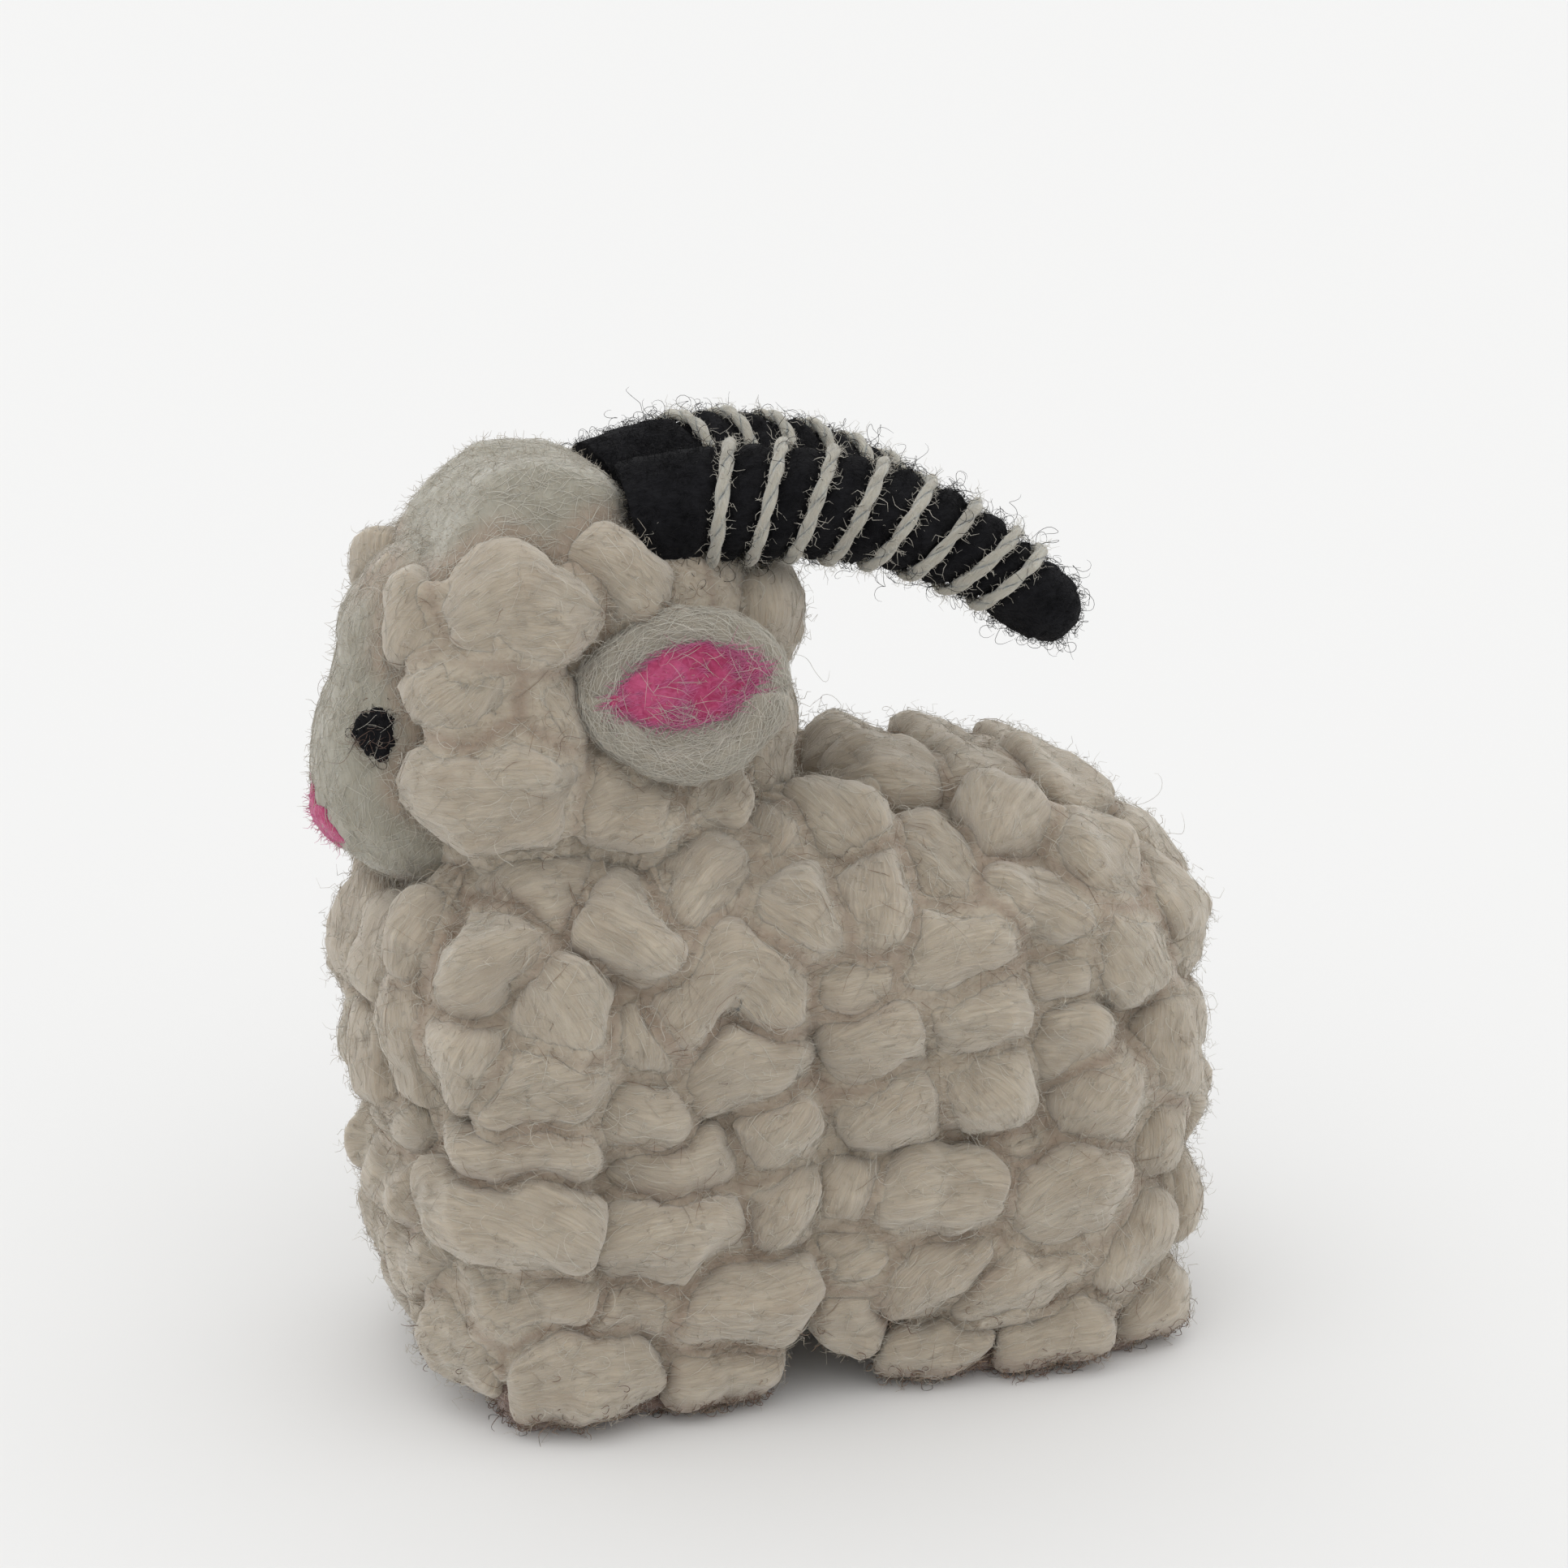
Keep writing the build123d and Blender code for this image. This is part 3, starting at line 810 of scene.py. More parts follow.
def lining_form(side):
    """The thin pink leaf felted into the ear's hollow."""
    ear = ears[side]
    angle = 2 * math.pi * np.arange(160) / 160
    edge_back, edge_up = leaf_edge(angle)
    shares = np.concatenate([np.linspace(0.03, 1, 30), np.linspace(0.97, 0.03, 10)])
    rows = []
    for k, share in enumerate(shares):
        flat_back, flat_up = edge_back * share * ear.length / 2, edge_up * share * ear.height / 2
        back = flat_back * math.cos(LINING_TILT) - flat_up * math.sin(LINING_TILT) + 0.2
        up = flat_back * math.sin(LINING_TILT) + flat_up * math.cos(LINING_TILT) + 0.5
        front_end = smoothstep(0.0, 1.0, -back / (ear.length / 2))
        height = ear_skin_height(ear, back, up) - 0.8 * front_end
        dome = 0.42 * math.sqrt(max(1 - share**6, 0)) - 0.16
        height = height + (dome if k < 30 else -0.35)
        rows.append(ear.place(back, up, height))
    points, faces = closed(rows, ear.flipped)
    surface = roughened(points, faces, ((2.2, 0.12), (0.8, 0.08)), 81)
    surface.comb = surface.points * [1, 0.4, 0.8]
    lie = ear.back * math.cos(LINING_TILT) + ear.up * math.sin(LINING_TILT)
    surface.run = np.tile(lie, (len(points), 1))
    return surface


def patch_form(surface, centre, look, across, size, thick, seed):
    """A ragged oval patch lying on a surface, seen along look from outside."""
    tree = BVHTree.FromPolygons(surface.points.tolist(), surface.triangles().tolist())
    up = unit(np.cross(look, across))
    angle = 2 * math.pi * np.arange(72) / 72
    ragged = 1 + 0.10 * np.sin(3 * angle + seed) + 0.07 * np.sin(7 * angle + 2 * seed)
    ragged = ragged + 0.05 * np.sin(12 * angle)
    shares = np.concatenate([np.linspace(0.05, 1, 16), np.linspace(0.95, 0.05, 6)])
    rows = []
    for k, share in enumerate(shares):
        lift = thick * math.sqrt(max(1 - share**4, 0)) - 0.12 if k < 16 else -0.5
        ring = []
        for a, wobble in zip(angle, ragged):
            reach = across * size[0] * math.cos(a) + up * size[1] * math.sin(a)
            place = centre + reach * share * wobble / 2
            hit, normal, _, _ = tree.ray_cast(Vector(place + look * 20), Vector(-look))
            ring.append(np.array(hit) + np.array(normal) * lift)
        rows.append(np.stack(ring))
    points, faces = closed(rows)
    if Surface(points, faces).normals()[0] @ look < 0:
        points, faces = closed(rows, flipped=True)
    made = roughened(points, faces, ((1.4, 0.10), (0.6, 0.05)), seed)
    made.comb = made.points * [1, 0.6, 0.6]
    return made


# ---------------------------------------------------------------- horns and yarn


def horn_form(mirror):
    """A horn whose felt bulges between the turns of yarn."""
    rows, tip_rows, columns = 190, 16, 64
    length = horn_length()
    bow = np.sin(np.linspace(0.05, 0.985, tip_rows) * math.pi / 2)
    t = np.concatenate([np.linspace(-0.03, 1, rows - tip_rows), 1 + bow * HORN_RADII[-1] / length])
    angle = 2 * math.pi * np.arange(columns) / columns
    centre, forward, inward, upward = horn_place(np.minimum(t, 1), mirror)
    centre = centre + forward * (np.maximum(t - 1, 0) * length)[:, None]
    ring = np.cos(angle)[None, :, None] * inward[:, None] + np.sin(angle)[None, :, None] * upward[:, None]
    # the yarn passes each side of a place once a turn, at these distances along the horn
    nearest = np.full((rows, columns), np.inf)
    for turn in range(-1, YARN_TURNS + 1):
        turns = turn + (-angle / (2 * math.pi)) % 1
        passes = np.where((turns > 0.2) & (turns < YARN_TURNS), yarn_place(turns), 9)
        nearest = np.minimum(nearest, np.abs(t[:, None] - passes[None]) * length)
    pinch = np.exp(-((nearest / 1.15) ** 2))
    radius = horn_radius(t)[:, None] + (0.75 - 1.15 * pinch) * smoothstep(0, 0.03, 1.07 - t)[:, None]
    radius = np.where(t[:, None] > 1, horn_radius(t)[:, None] * 1.15, radius)
    points = centre[:, None] + ring * radius[..., None]
    tip = centre[-1] + forward[-1] * 0.1
    points, faces = capped_grid(points, centre[0], tip)
    faces = faces if mirror > 0 else [f[:, ::-1] for f in faces]
    surface = roughened(points, faces, ((2.4, 0.22), (1.0, 0.13), (0.5, 0.06)), 91)
    surface.run = np.concatenate([np.repeat(forward, columns, 0), forward[:1], forward[-1:]])
    return surface


def yarn_line(mirror, count):
    """The yarn's centreline round its horn."""
    turns = np.linspace(0.25, YARN_TURNS, count)
    t = yarn_place(turns)
    centre, _, inward, upward = horn_place(t, mirror)
    angle = (-2 * math.pi * turns)[:, None]
    out = np.cos(angle) * inward + np.sin(angle) * upward
    return centre + out * (horn_radius(t) + YARN * 0.42)[:, None], out


def ply_form(mirror, ply):
    """One of the yarn's two plies, twisted round its centreline, with fine fibre ridges."""
    line, out = yarn_line(mirror, 1500)
    run = unit(np.gradient(line, axis=0))
    side = np.cross(run, out)
    travelled = np.concatenate([[0], np.cumsum(np.linalg.norm(np.diff(line, axis=0), axis=1))])
    twist = 2 * math.pi * travelled / PLY_PITCH + math.pi * ply
    swell = 1 + 0.14 * noise(np.stack([travelled, travelled * 0 + ply * 9, travelled * 0], -1), 2.4, 7)
    leaning = np.cos(twist)[:, None] * out + np.sin(twist)[:, None] * side
    middle = line + leaning * (YARN * PLY_REACH)
    columns = 12
    angle = 2 * math.pi * np.arange(columns) / columns
    ring = np.cos(angle)[None, :, None] * out[:, None] + np.sin(angle)[None, :, None] * side[:, None]
    points = middle[:, None] + ring * (YARN * PLY_RADIUS * swell)[:, None, None]
    points, faces = capped_grid(points, middle[0], middle[-1])
    if mirror < 0:
        faces = [f[:, ::-1] for f in faces]
    along = np.repeat(travelled[:, None], columns, 1)
    across = angle[None] * 0.55 + twist[:, None] * 0.5
    comb = np.stack([along.ravel(), across.ravel(), np.full(along.size, ply * 5.0)], -1)
    comb = np.concatenate([comb, comb[:1], comb[-1:]])
    surface = Surface(points, faces, comb)
    surface.run = np.concatenate([np.repeat(run, columns, 0), run[:1], run[-1:]])
    return surface


# ---------------------------------------------------------------- fibres


def strands(paths, radius):
    """Closed three-sided hairs along paths, an array of fibres by points by 3, thin at both ends."""
    count, steps, _ = paths.shape
    run = unit(np.gradient(paths, axis=1))
    helper = np.where(np.abs(run[:, :1, 2:]) < 0.8, [0.0, 0.0, 1.0], [1.0, 0.0, 0.0])
    side = unit(np.cross(run, helper))
    up = np.cross(run, side)
    share = np.linspace(-1, 1, steps)
    taper = 1 - 0.6 * share**2
    angle = 2 * math.pi * np.arange(3) / 3
    ring = np.cos(angle)[:, None] * side[:, :, None] + np.sin(angle)[:, None] * up[:, :, None]
    size = np.asarray(radius).reshape(-1, 1, 1, 1) * taper[None, :, None, None]
    points = paths[:, :, None] + ring * size
    points[..., 2] = np.maximum(points[..., 2], 0.03)
    index = np.arange(count * steps * 3).reshape(count, steps, 3)
    here, there = index[:, :-1], index[:, 1:]
    quads = np.stack([here, np.roll(here, -1, 2), np.roll(there, -1, 2), there], -1).reshape(-1, 4)
    caps = np.concatenate([index[:, 0, ::-1], index[:, -1]])
    return Surface(points.reshape(-1, 3), [quads, caps])


def sprinkle(surface, count, rng, favour=None):
    """Random places on a surface, with the normal and the fibres' run at each.

    favour says how likely each of the surface's points is to be near one.
    """
    tri = surface.triangles()
    a, b, c = (surface.points[tri[:, i]] for i in range(3))
    area = np.linalg.norm(np.cross(b - a, c - a), axis=1)
    if favour is not None:
        area = area * favour[tri].mean(1)
    chosen = tri[rng.choice(len(tri), count, p=area / area.sum())]
    weight = rng.dirichlet((1, 1, 1), count)
    normals = surface.normals()

    def mixed(values):
        return sum(values[chosen[:, i]] * weight[:, i : i + 1] for i in range(3))

    return mixed(surface.points), unit(mixed(normals)), unit(mixed(surface.run))


def curl(paths, height, turns, rng):
    """Adds a loose corkscrew to paths."""
    count, steps, _ = paths.shape
    share = np.linspace(0, 1, steps)
    phase = rng.uniform(0, 2 * math.pi, (count, 1))
    phase = phase + 2 * math.pi * turns * share * rng.uniform(0.6, 1.4, (count, 1))
    run = unit(paths[:, -1] - paths[:, 0])
    helper = np.where(np.abs(run[:, 2:]) < 0.8, [0.0, 0.0, 1.0], [1.0, 0.0, 0.0])
    side = unit(np.cross(run, helper))
    up = np.cross(run, side)
    size = np.asarray(height).reshape(-1, 1, 1) * np.sin(share * math.pi / 2)[None, :, None]
    turned = np.cos(phase)[..., None] * side[:, None] + np.sin(phase)[..., None] * up[:, None]
    return paths + turned * size


def lying(surface, tree, count, length, lift, stray, steps, rng, favour=None):
    """Fibres combed along a surface, following it closely, with some bridging its creases."""
    place, normal, run = sprinkle(surface, count, rng, favour)
    turn = rng.normal(0, stray, count)[:, None]
    side = np.cross(normal, run)
    heading = unit(run * np.cos(turn) + side * np.sin(turn))
    reach = rng.uniform(*length, count)[:, None, None]
    share = np.linspace(-0.5, 0.5, steps)[None, :, None]
    bow = rng.normal(0, 0.12, count)[:, None, None]
    paths = place[:, None] + heading[:, None] * share * reach
    paths = paths + side[:, None] * bow * reach * (4 * share**2)
    height = rng.uniform(*lift, count)
    flat = paths.reshape(-1, 3)
    pulled = np.empty_like(flat)
    raise_by = np.repeat(height, steps)
    hug = np.repeat(rng.uniform(0.55, 1.0, count), steps)
    for i, p in enumerate(flat):
        hit, n, _, _ = tree.find_nearest(Vector(p))
        pulled[i] = p * (1 - hug[i]) + (np.array(hit) + np.array(n) * raise_by[i]) * hug[i]
    return curl(pulled.reshape(paths.shape), 0.05, 1, rng)


def standing(surface, count, length, lean, wave, steps, rng, favour=None):
    """Fibres that rise from a surface and wander off."""
    place, normal, _ = sprinkle(surface, count, rng, favour)
    wild = unit(rng.normal(0, 1, (count, 3)))
    heading = unit(normal + wild * lean)
    bend = unit(rng.normal(0, 1, (count, 3)))
    reach = rng.uniform(*length, count)[:, None, None]
    share = np.linspace(0, 1, steps)[None, :, None]
    paths = place[:, None] - normal[:, None] * 0.15 + heading[:, None] * share * reach
    paths = paths + bend[:, None] * share**2 * reach * 0.45
    return curl(paths, wave * reach[:, 0, 0], 1.6, rng)


def looping(surface, count, length, tightness, steps, rng, favour=None):
    """Long kinky fibres that rise from a surface and keep bending, so that many come back to it."""
    place, normal, _ = sprinkle(surface, count, rng, favour)
    heading = unit(normal * 0.8 + rng.normal(0, 0.8, (count, 3)))
    turn = unit(rng.normal(0, 1, (count, 3)))
    reach = rng.uniform(*length, count)
    paths = np.empty((count, steps, 3))
    paths[:, 0] = place - normal * 0.2
    for k in range(1, steps):
        turn = unit(turn + rng.normal(0, 0.25, (count, 3)))
        heading = unit(heading + np.cross(turn, heading) * (tightness * 4 / steps) - normal * 0.06)
        paths[:, k] = paths[:, k - 1] + heading * (reach / steps)[:, None]
    return paths


def tree_of(surface):
    return BVHTree.FromPolygons(surface.points.tolist(), surface.triangles().tolist())


# ---------------------------------------------------------------- materials


def feed(tree, socket, value):
    """Sets a socket, or links it to the output of another node."""
    if isinstance(value, bpy.types.NodeSocket):
        tree.links.new(value, socket)
    else:
        socket.default_value = value


def node(tree, kind, settings=None, **inputs):
    """A new node with its settings, and its inputs set or linked."""
    made = tree.nodes.new("ShaderNode" + kind)
    for name, value in (settings or {}).items():
        setattr(made, name, value)
    for name, value in inputs.items():
        feed(tree, made.inputs[name.replace("_", " ")], value)
    return made


def new_material(name, roughness, sheen, depth=0.0):
    material = bpy.data.materials.new(name)
    material.use_nodes = True
    shader = material.node_tree.nodes["Principled BSDF"]
    shader.inputs["Roughness"].default_value = roughness
    shader.inputs["Specular IOR Level"].default_value = 0.12
    shader.inputs["Sheen Weight"].default_value = sheen
    shader.inputs["Sheen Roughness"].default_value = 0.5
    shader.inputs["Subsurface Weight"].default_value = 1.0 if depth else 0.0
    shader.inputs["Subsurface Radius"].default_value = (1.0, 0.85, 0.7)
    shader.inputs["Subsurface Scale"].default_value = depth * MM
    return material, material.node_tree, shader


def attribute_noise(tree, scale, detail, distortion):
    """Noise that follows the comb attribute, stretched along the fibres."""
    comb = node(tree, "Attribute", {"attribute_name": "comb"}).outputs["Vector"]
    place = node(tree, "Mapping", Scale=scale, Vector=comb).outputs["Vector"]
    settings = {"Scale": 1.0, "Detail": detail, "Roughness": 0.6, "Distortion": distortion}
    return node(tree, "TexNoise", **settings, Vector=place).outputs["Fac"]


def place_noise(tree, size, detail):
    """Noise in the object's own space, with patches about size millimetres across."""
    place = node(tree, "TexCoord").outputs["Object"]
    return node(tree, "TexNoise", Scale=1 / (size * MM), Detail=detail, Vector=place).outputs["Fac"]


def math_node(tree, operation, a, b):
    made = node(tree, "Math", {"operation": operation})
    feed(tree, made.inputs[0], a)
    feed(tree, made.inputs[1], b)
    return made.outputs[0]


def mix_colour(tree, factor, a, b):
    a, b = ((*colour, 1) if isinstance(colour, tuple) else colour for colour in (a, b))
    return node(tree, "Mix", {"data_type": "RGBA"}, Factor=factor, A=a, B=b).outputs["Result"]


def ramp(tree, factor, low, high):
    """A smooth step of a value between two stops, as a factor."""
    smooth = {"interpolation_type": "SMOOTHSTEP"}
    return node(tree, "MapRange", smooth, From_Min=low, From_Max=high, Value=factor).outputs["Result"]


def felt(name, colours, bump, grain=(0.25, 3.0, 1), strand=(0.12, 0.9, 1), sheen=0.35, depth=0.5):
    """Combed wool: fine fibre lines, broader strands, mottled colour and painted shade in the grooves.

    colours are those of the light fibres, the dark ones and the painted shade of the grooves.
    """
    light, dark, groove = colours
    material, tree, shader = new_material(name, 0.92, sheen, depth=depth)
    fine = attribute_noise(tree, grain, 4.0, 1.6)
    broad = attribute_noise(tree, strand, 2.0, 0.5)
    patches = place_noise(tree, 5.0, 2.0)
    fine_share = math_node(tree, "MULTIPLY", fine, 0.5)
    tone = math_node(tree, "ADD", fine_share, math_node(tree, "MULTIPLY", broad, 0.2))
    tone = math_node(tree, "ADD", tone, math_node(tree, "MULTIPLY", patches, 0.3))
    colour = mix_colour(tree, ramp(tree, tone, 0.32, 0.68), dark, light)
    # painted shade: the groove attribute mixes in the darker crease colour
    hollow = node(tree, "Attribute", {"attribute_name": "groove"}).outputs["Fac"]
    colour = mix_colour(tree, ramp(tree, hollow, 0.0, 1.0), colour, groove)
    tree.links.new(colour, shader.inputs["Base Color"])
    height = math_node(tree, "ADD", fine, math_node(tree, "MULTIPLY", broad, 1.2))
    raised = node(tree, "Bump", Strength=bump, Distance=0.4 * MM, Height=height)
    tree.links.new(raised.outputs["Normal"], shader.inputs["Normal"])
    return material


def hair(name, colour, roughness=0.6, sheen=0.2):
    """A single fibre's plain colour."""
    material, _, shader = new_material(name, roughness, sheen)
    shader.inputs["Base Color"].default_value = (*colour, 1)
    return material


CREAM = (0.512, 0.456, 0.372)
CREAM_DARK = (0.390, 0.332, 0.262)
# painted shade of the creases, of felt under the locks and of the hem
GROOVE_SHADE = (0.345, 0.276, 0.216)
curly_wool = felt("curly_wool", (CREAM, CREAM_DARK, GROOVE_SHADE), 0.8)
core_wool = felt("core_wool", (CREAM, CREAM_DARK, GROOVE_SHADE), 0.7)
smooth_wool = felt("smooth_wool", ((0.37, 0.352, 0.295), (0.31, 0.288, 0.232), GROOVE_SHADE), 0.8)
ear_wool = felt("ear_wool", ((0.40, 0.37, 0.315), (0.33, 0.30, 0.245), GROOVE_SHADE), 0.5)
# painted shade: the legs under the body are coloured dark all over
shaded_leg_wool = felt("shaded_leg_wool", ((0.30, 0.24, 0.19), (0.18, 0.13, 0.105), (0.22, 0.155, 0.13)), 0.9)
PINKS = (0.58, 0.125, 0.26), (0.34, 0.025, 0.095), (0.4, 0.05, 0.15)
pink_wool = felt("pink_wool", PINKS, 0.9, (1.2, 2.2, 1.6), (0.5, 0.8, 0.6))
BLACKS = (0.012, 0.012, 0.014), (0.004, 0.004, 0.005), (0.004, 0.004, 0.005)
black_wool = felt("black_wool", BLACKS, 1.0, (1.6, 2.2, 1.6), (0.6, 0.8, 0.6), sheen=0.02, depth=0.0)
YARN_COLOURS = (0.56, 0.54, 0.47), (0.36, 0.34, 0.29), (0.40, 0.36, 0.30)
yarn_wool = felt("yarn_wool", YARN_COLOURS, 0.8, (0.5, 5.0, 1), (0.3, 1.6, 1))


# ---------------------------------------------------------------- the goat

lock_names = sorted(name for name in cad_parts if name.endswith("curls"))
locks = {name: read_locks(name, 100 + 40 * i) for i, name in enumerate(lock_names)}
every_lock = [lock for group in locks.values() for lock in group]
lock_surfaces = make_locks(locks)
for name, group in lock_surfaces.items():
    build(name.replace("curls", "locks"), joined(group), curly_wool, [name])

body_skin = settled(body_underwool(every_lock))
head_skin = settled(head_underwool(every_lock))
muzzle_skin = muzzle_form(every_lock)
crown_skin = crown_form(every_lock)
build("body_felt", body_skin, core_wool, ["body_core"])
build("head_felt", head_skin, core_wool, ["head_core"])
build("muzzle_felt", muzzle_skin, smooth_wool, ["muzzle"])
build("crown_felt", crown_skin, smooth_wool, ["crown_tuft"])

leg_skins, ear_skins, lining_skins, horn_skins, eye_skins, yarn_skins = {}, {}, {}, {}, {}, {}
for side, mirror in SIDES.items():
    for end in ("front", "hind"):
        name = f"{side}_{end}_leg"
        leg_skins[name] = settled(leg_underwool(name, mirror))
        build(name + "_felt", leg_skins[name], shaded_leg_wool, [name])
    ear_skins[side] = ear_form(side)
    build(side + "_ear_flap", ear_skins[side], ear_wool, [side + "_ear"])
    lining_skins[side] = lining_form(side)
    build(side + "_ear_pink", lining_skins[side], pink_wool, [side + "_ear_lining"])
    horn_skins[side] = horn_form(mirror)
    build(side + "_horn_felt", horn_skins[side], black_wool, [side + "_horn"])
    yarn_skins[side] = joined([ply_form(mirror, 0), ply_form(mirror, 1)])
    build(side + "_horn_yarn", yarn_skins[side], yarn_wool, [side + "_horn_wrap"])
    low, high = node_box(side + "_eye")
    look = unit(np.array([mirror * 1.0, -0.35, 0.0]))
    across = unit(np.cross(UP, look))
    eye_skins[side] = patch_form(muzzle_skin, (low + high) / 2, look, across, EYE_SIZE, 0.55, 5)
    build(side + "_eye_felt", eye_skins[side], black_wool, [side + "_eye"])

nose_low, nose_high = node_box("nose")
ahead, across = np.array([0, -1.0, 0]), np.array([1.0, 0, 0])
nose_skin = patch_form(muzzle_skin, (nose_low + nose_high) / 2, ahead, across, NOSE_SIZE, 0.5, 8)
build("nose_felt", nose_skin, pink_wool, ["nose"])


# ---------------------------------------------------------------- fibres on the goat

WOOL_TINTS = {
    "cream": (0.46, 0.41, 0.335),
    "pale": (0.58, 0.55, 0.48),
    "straw": (0.36, 0.295, 0.225),
    "rust": (0.24, 0.165, 0.115),
}
wool_hair = {name: hair("hair_" + name, colour) for name, colour in WOOL_TINTS.items()}
black_hair = hair("hair_black", (0.006, 0.006, 0.007), 0.6, 0.0)
pink_hair = hair("hair_pink", (0.60, 0.14, 0.30))
brown_hair = hair("hair_brown", (0.16, 0.10, 0.075))


def grow(name, paths, radius, material):
    """Makes a piece of the fibres along some paths."""
    build(name, strands(paths, radius), material)


def comb_fleece(fleece, tree, rng):
    """Fibres on the locks and the felt between them: combed flat, standing and long loose ones."""
    # painted shade and light: darker straw and rust fibres gather in the creases, cream and pale ones on
    # the lock tops
    creases = fleece.groove + 0.05
    tops = np.maximum(1.15 - fleece.groove, 0.05)
    combed = (
        ("cream", 15000, tops, 0.35, (0.03, 0.25)),
        ("pale", 13000, tops, 0.6, (0.03, 0.35)),
        ("straw", 14000, creases, 1.4, (0.05, 0.5)),
        ("rust", 5000, creases, 1.8, (0.05, 0.5)),
    )
    for tint, count, favour, stray, lift in combed:
        paths = lying(fleece, tree, count, (1.5, 4.5), lift, stray, 4, rng, favour)
        grow("combed_" + tint, paths, rng.uniform(0.024, 0.040, count), wool_hair[tint])
    for tint, count, favour in (("cream", 24000, tops), ("pale", 14000, tops), ("straw", 14000, creases)):
        paths = standing(fleece, count, (0.6, 2.0), 2.2, 0.32, 6, rng, favour)
        grow("fuzz_" + tint, paths, rng.uniform(0.022, 0.034, count), wool_hair[tint])
    paths = looping(fleece, 2600, (3, 9), 1.8, 14, rng)
    grow("flyaway_pale", paths, 0.026, wool_hair["pale"])
    paths = looping(fleece, 90, (3, 6), 2.2, 16, rng)
    grow("flyaway_dark", paths, 0.032, brown_hair)


def comb_side(side, tree, rng):
    """Fibres on one side's horn, yarn, ear and eye."""
    horn, pink, eye, ear = horn_skins[side], lining_skins[side], eye_skins[side], ear_skins[side]
    black, brown = (black_hair, "black_wool"), (brown_hair, "black_wool")
    pale, pink_wisp = (wool_hair["pale"], "smooth_wool"), (pink_hair, "pink_wool")
    on_yarn = (wool_hair["pale"], "yarn")
    fibres = (
        ("horn_fuzz", standing, (horn, 3500, (0.4, 1.4), 2.2, 0.35, 7), 0.028, black),
        ("horn_loops", looping, (horn, 2400, (2.5, 8.0), 2.8, 18), 0.030, black),
        ("yarn_fuzz", standing, (yarn_skins[side], 3000, (0.4, 1.8), 1.8, 0.2, 5), 0.026, on_yarn),
        ("ear_pink_fuzz", lying, (pink, tree, 1800, (1.6, 4.2), (0.1, 0.4), 0.5, 5), 0.036, pink_wisp),
        ("ear_pale_fuzz", lying, (pink, tree_of(pink), 70, (2.0, 5.0), (0.1, 0.6), 1.2, 6), 0.022, pale),
        ("eye_fuzz", looping, (eye, 150, (1.5, 4.5), 1.8, 12), 0.032, black),
        ("eye_brown_fuzz", looping, (eye, 60, (2.0, 5.5), 1.4, 12), 0.024, brown),
        ("eye_pale_fuzz", lying, (eye, tree_of(eye), 24, (2.0, 5.5), (0.1, 0.6), 1.5, 7), 0.022, pale),
        ("ear_combed", lying, (ear, tree, 1800, (2.0, 4.5), (0.05, 0.5), 0.45, 5), 0.026, pale),
    )
    for name, way, settings, radius, (material, slot) in fibres:
        grow(f"{side}_{name}", way(*settings, rng), radius, material)


def comb_hem(fleece, rng):
    """The brown fringe round the feet: brown fibres, partly painted shade at the foot of the fleece."""
    under = joined([fleece, *leg_skins.values()])
    slope = under.normals()[:, 2]
    hem = smoothstep(3.6, 1.6, under.points[:, 2]) * (slope < 0.1) * (slope > -0.9)
    hem = hem + 0.15 * np.clip(-slope, 0, 1) * (under.points[:, 2] < 10)
    for name, tint in (("brown", brown_hair), ("rust", wool_hair["rust"])):
        paths = looping(under, 4000, (1.8, 4.5), 2.2, 12, rng, hem)
        grow("sole_fringe_" + name, paths, 0.050, tint)


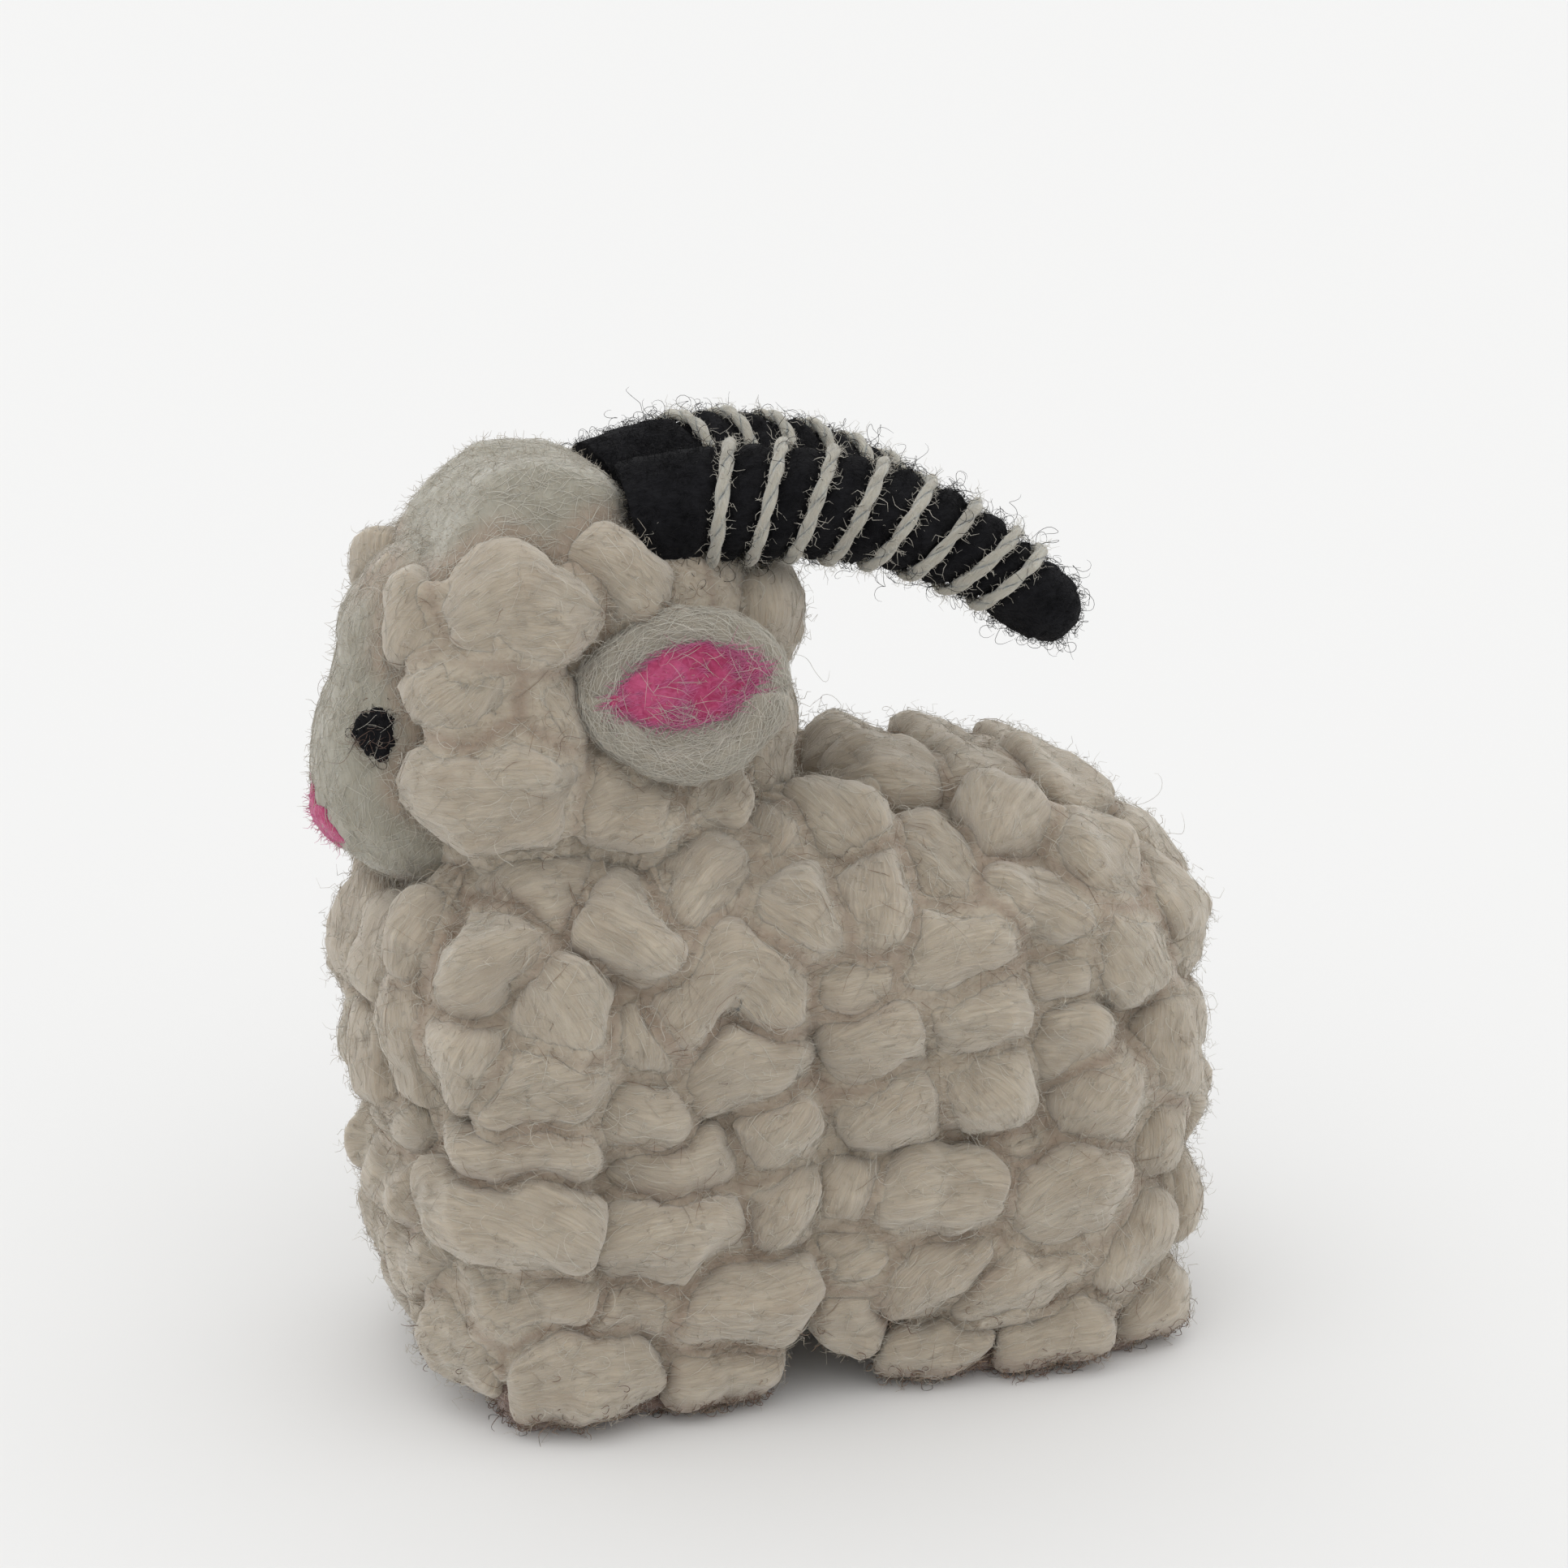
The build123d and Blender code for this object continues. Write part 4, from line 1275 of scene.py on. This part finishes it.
def comb_out():
    """Fibres on every piece, by the piece that they belong to."""
    rng = np.random.default_rng(7)
    fleece = joined([s for group in lock_surfaces.values() for s in group] + [body_skin, head_skin])
    smooth = joined([muzzle_skin, crown_skin, *ear_skins.values()])
    tree = tree_of(joined([fleece, smooth]))
    comb_fleece(fleece, tree, rng)
    paths = lying(smooth, tree, 8000, (1.5, 4.0), (0.03, 0.25), 0.7, 4, rng)
    grow("combed_smooth", paths, 0.030, wool_hair["pale"])
    paths = standing(smooth, 9000, (0.4, 1.5), 1.3, 0.12, 4, rng)
    grow("fuzz_smooth", paths, 0.027, wool_hair["cream"])
    for side in SIDES:
        comb_side(side, tree, rng)
    under_ears = smoothstep(3.0, 0.5, np.abs(ear_outside(fleece.points))) + 1e-6
    for tint in ("straw", "rust"):
        paths = looping(fleece, 900, (2.0, 6.0), 2.0, 12, rng, under_ears)
        grow("ear_wisps_" + tint, paths, 0.026, wool_hair[tint])
    paths = standing(nose_skin, 260, (0.5, 1.4), 2.0, 0.1, 5, rng)
    grow("nose_fuzz", paths, 0.030, pink_hair)
    comb_hem(fleece, rng)


comb_out()


# ---------------------------------------------------------------- floor, light and camera

CAMERA_AZIMUTH = math.radians(73)
CAMERA_ELEVATION = math.radians(16)
CAMERA_DISTANCE = 0.35
VIEW_WIDTH = 0.161
LOOK_AT = Vector((0, 0.0027, 0.0600))
FLOOR_RADIUS = 4.0


def set_stage():
    bpy.ops.mesh.primitive_circle_add(vertices=96, radius=FLOOR_RADIUS, fill_type="NGON")
    floor = bpy.context.object
    floor.name = "floor"
    material, _, shader = new_material("floor_paper", 0.9, 0.0)
    shader.inputs["Base Color"].default_value = (0.83, 0.83, 0.825, 1)
    floor.data.materials.append(material)
    floor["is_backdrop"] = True
    world = bpy.data.worlds.new("studio")
    world.use_nodes = True
    background = world.node_tree.nodes["Background"]
    background.inputs["Color"].default_value = (1.0, 1.0, 1.0, 1)
    background.inputs["Strength"].default_value = 0.95
    bpy.context.scene.world = world
    lamp = bpy.data.lights.new("window", "SUN")
    lamp.energy = 0.55
    lamp.angle = math.radians(70)
    holder = bpy.data.objects.new("window", lamp)
    holder.rotation_euler = Vector((-0.45, 0.25, -1.0)).to_track_quat("-Z", "Y").to_euler()
    bpy.context.scene.collection.objects.link(holder)


def set_camera():
    data = bpy.data.cameras.new("camera")
    data.angle = 2 * math.atan(VIEW_WIDTH / 2 / CAMERA_DISTANCE)
    camera = bpy.data.objects.new("camera", data)
    flat = math.cos(CAMERA_ELEVATION)
    back = Vector(
        (math.sin(CAMERA_AZIMUTH) * flat, -math.cos(CAMERA_AZIMUTH) * flat, math.sin(CAMERA_ELEVATION))
    )
    camera.location = LOOK_AT + back * CAMERA_DISTANCE
    camera.rotation_euler = (-back).to_track_quat("-Z", "Y").to_euler()
    data.clip_start = 0.01
    data.clip_end = 20
    bpy.context.scene.collection.objects.link(camera)
    bpy.context.scene.camera = camera


set_stage()
set_camera()
bpy.context.scene.view_settings.view_transform = "Standard"

low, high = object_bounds()
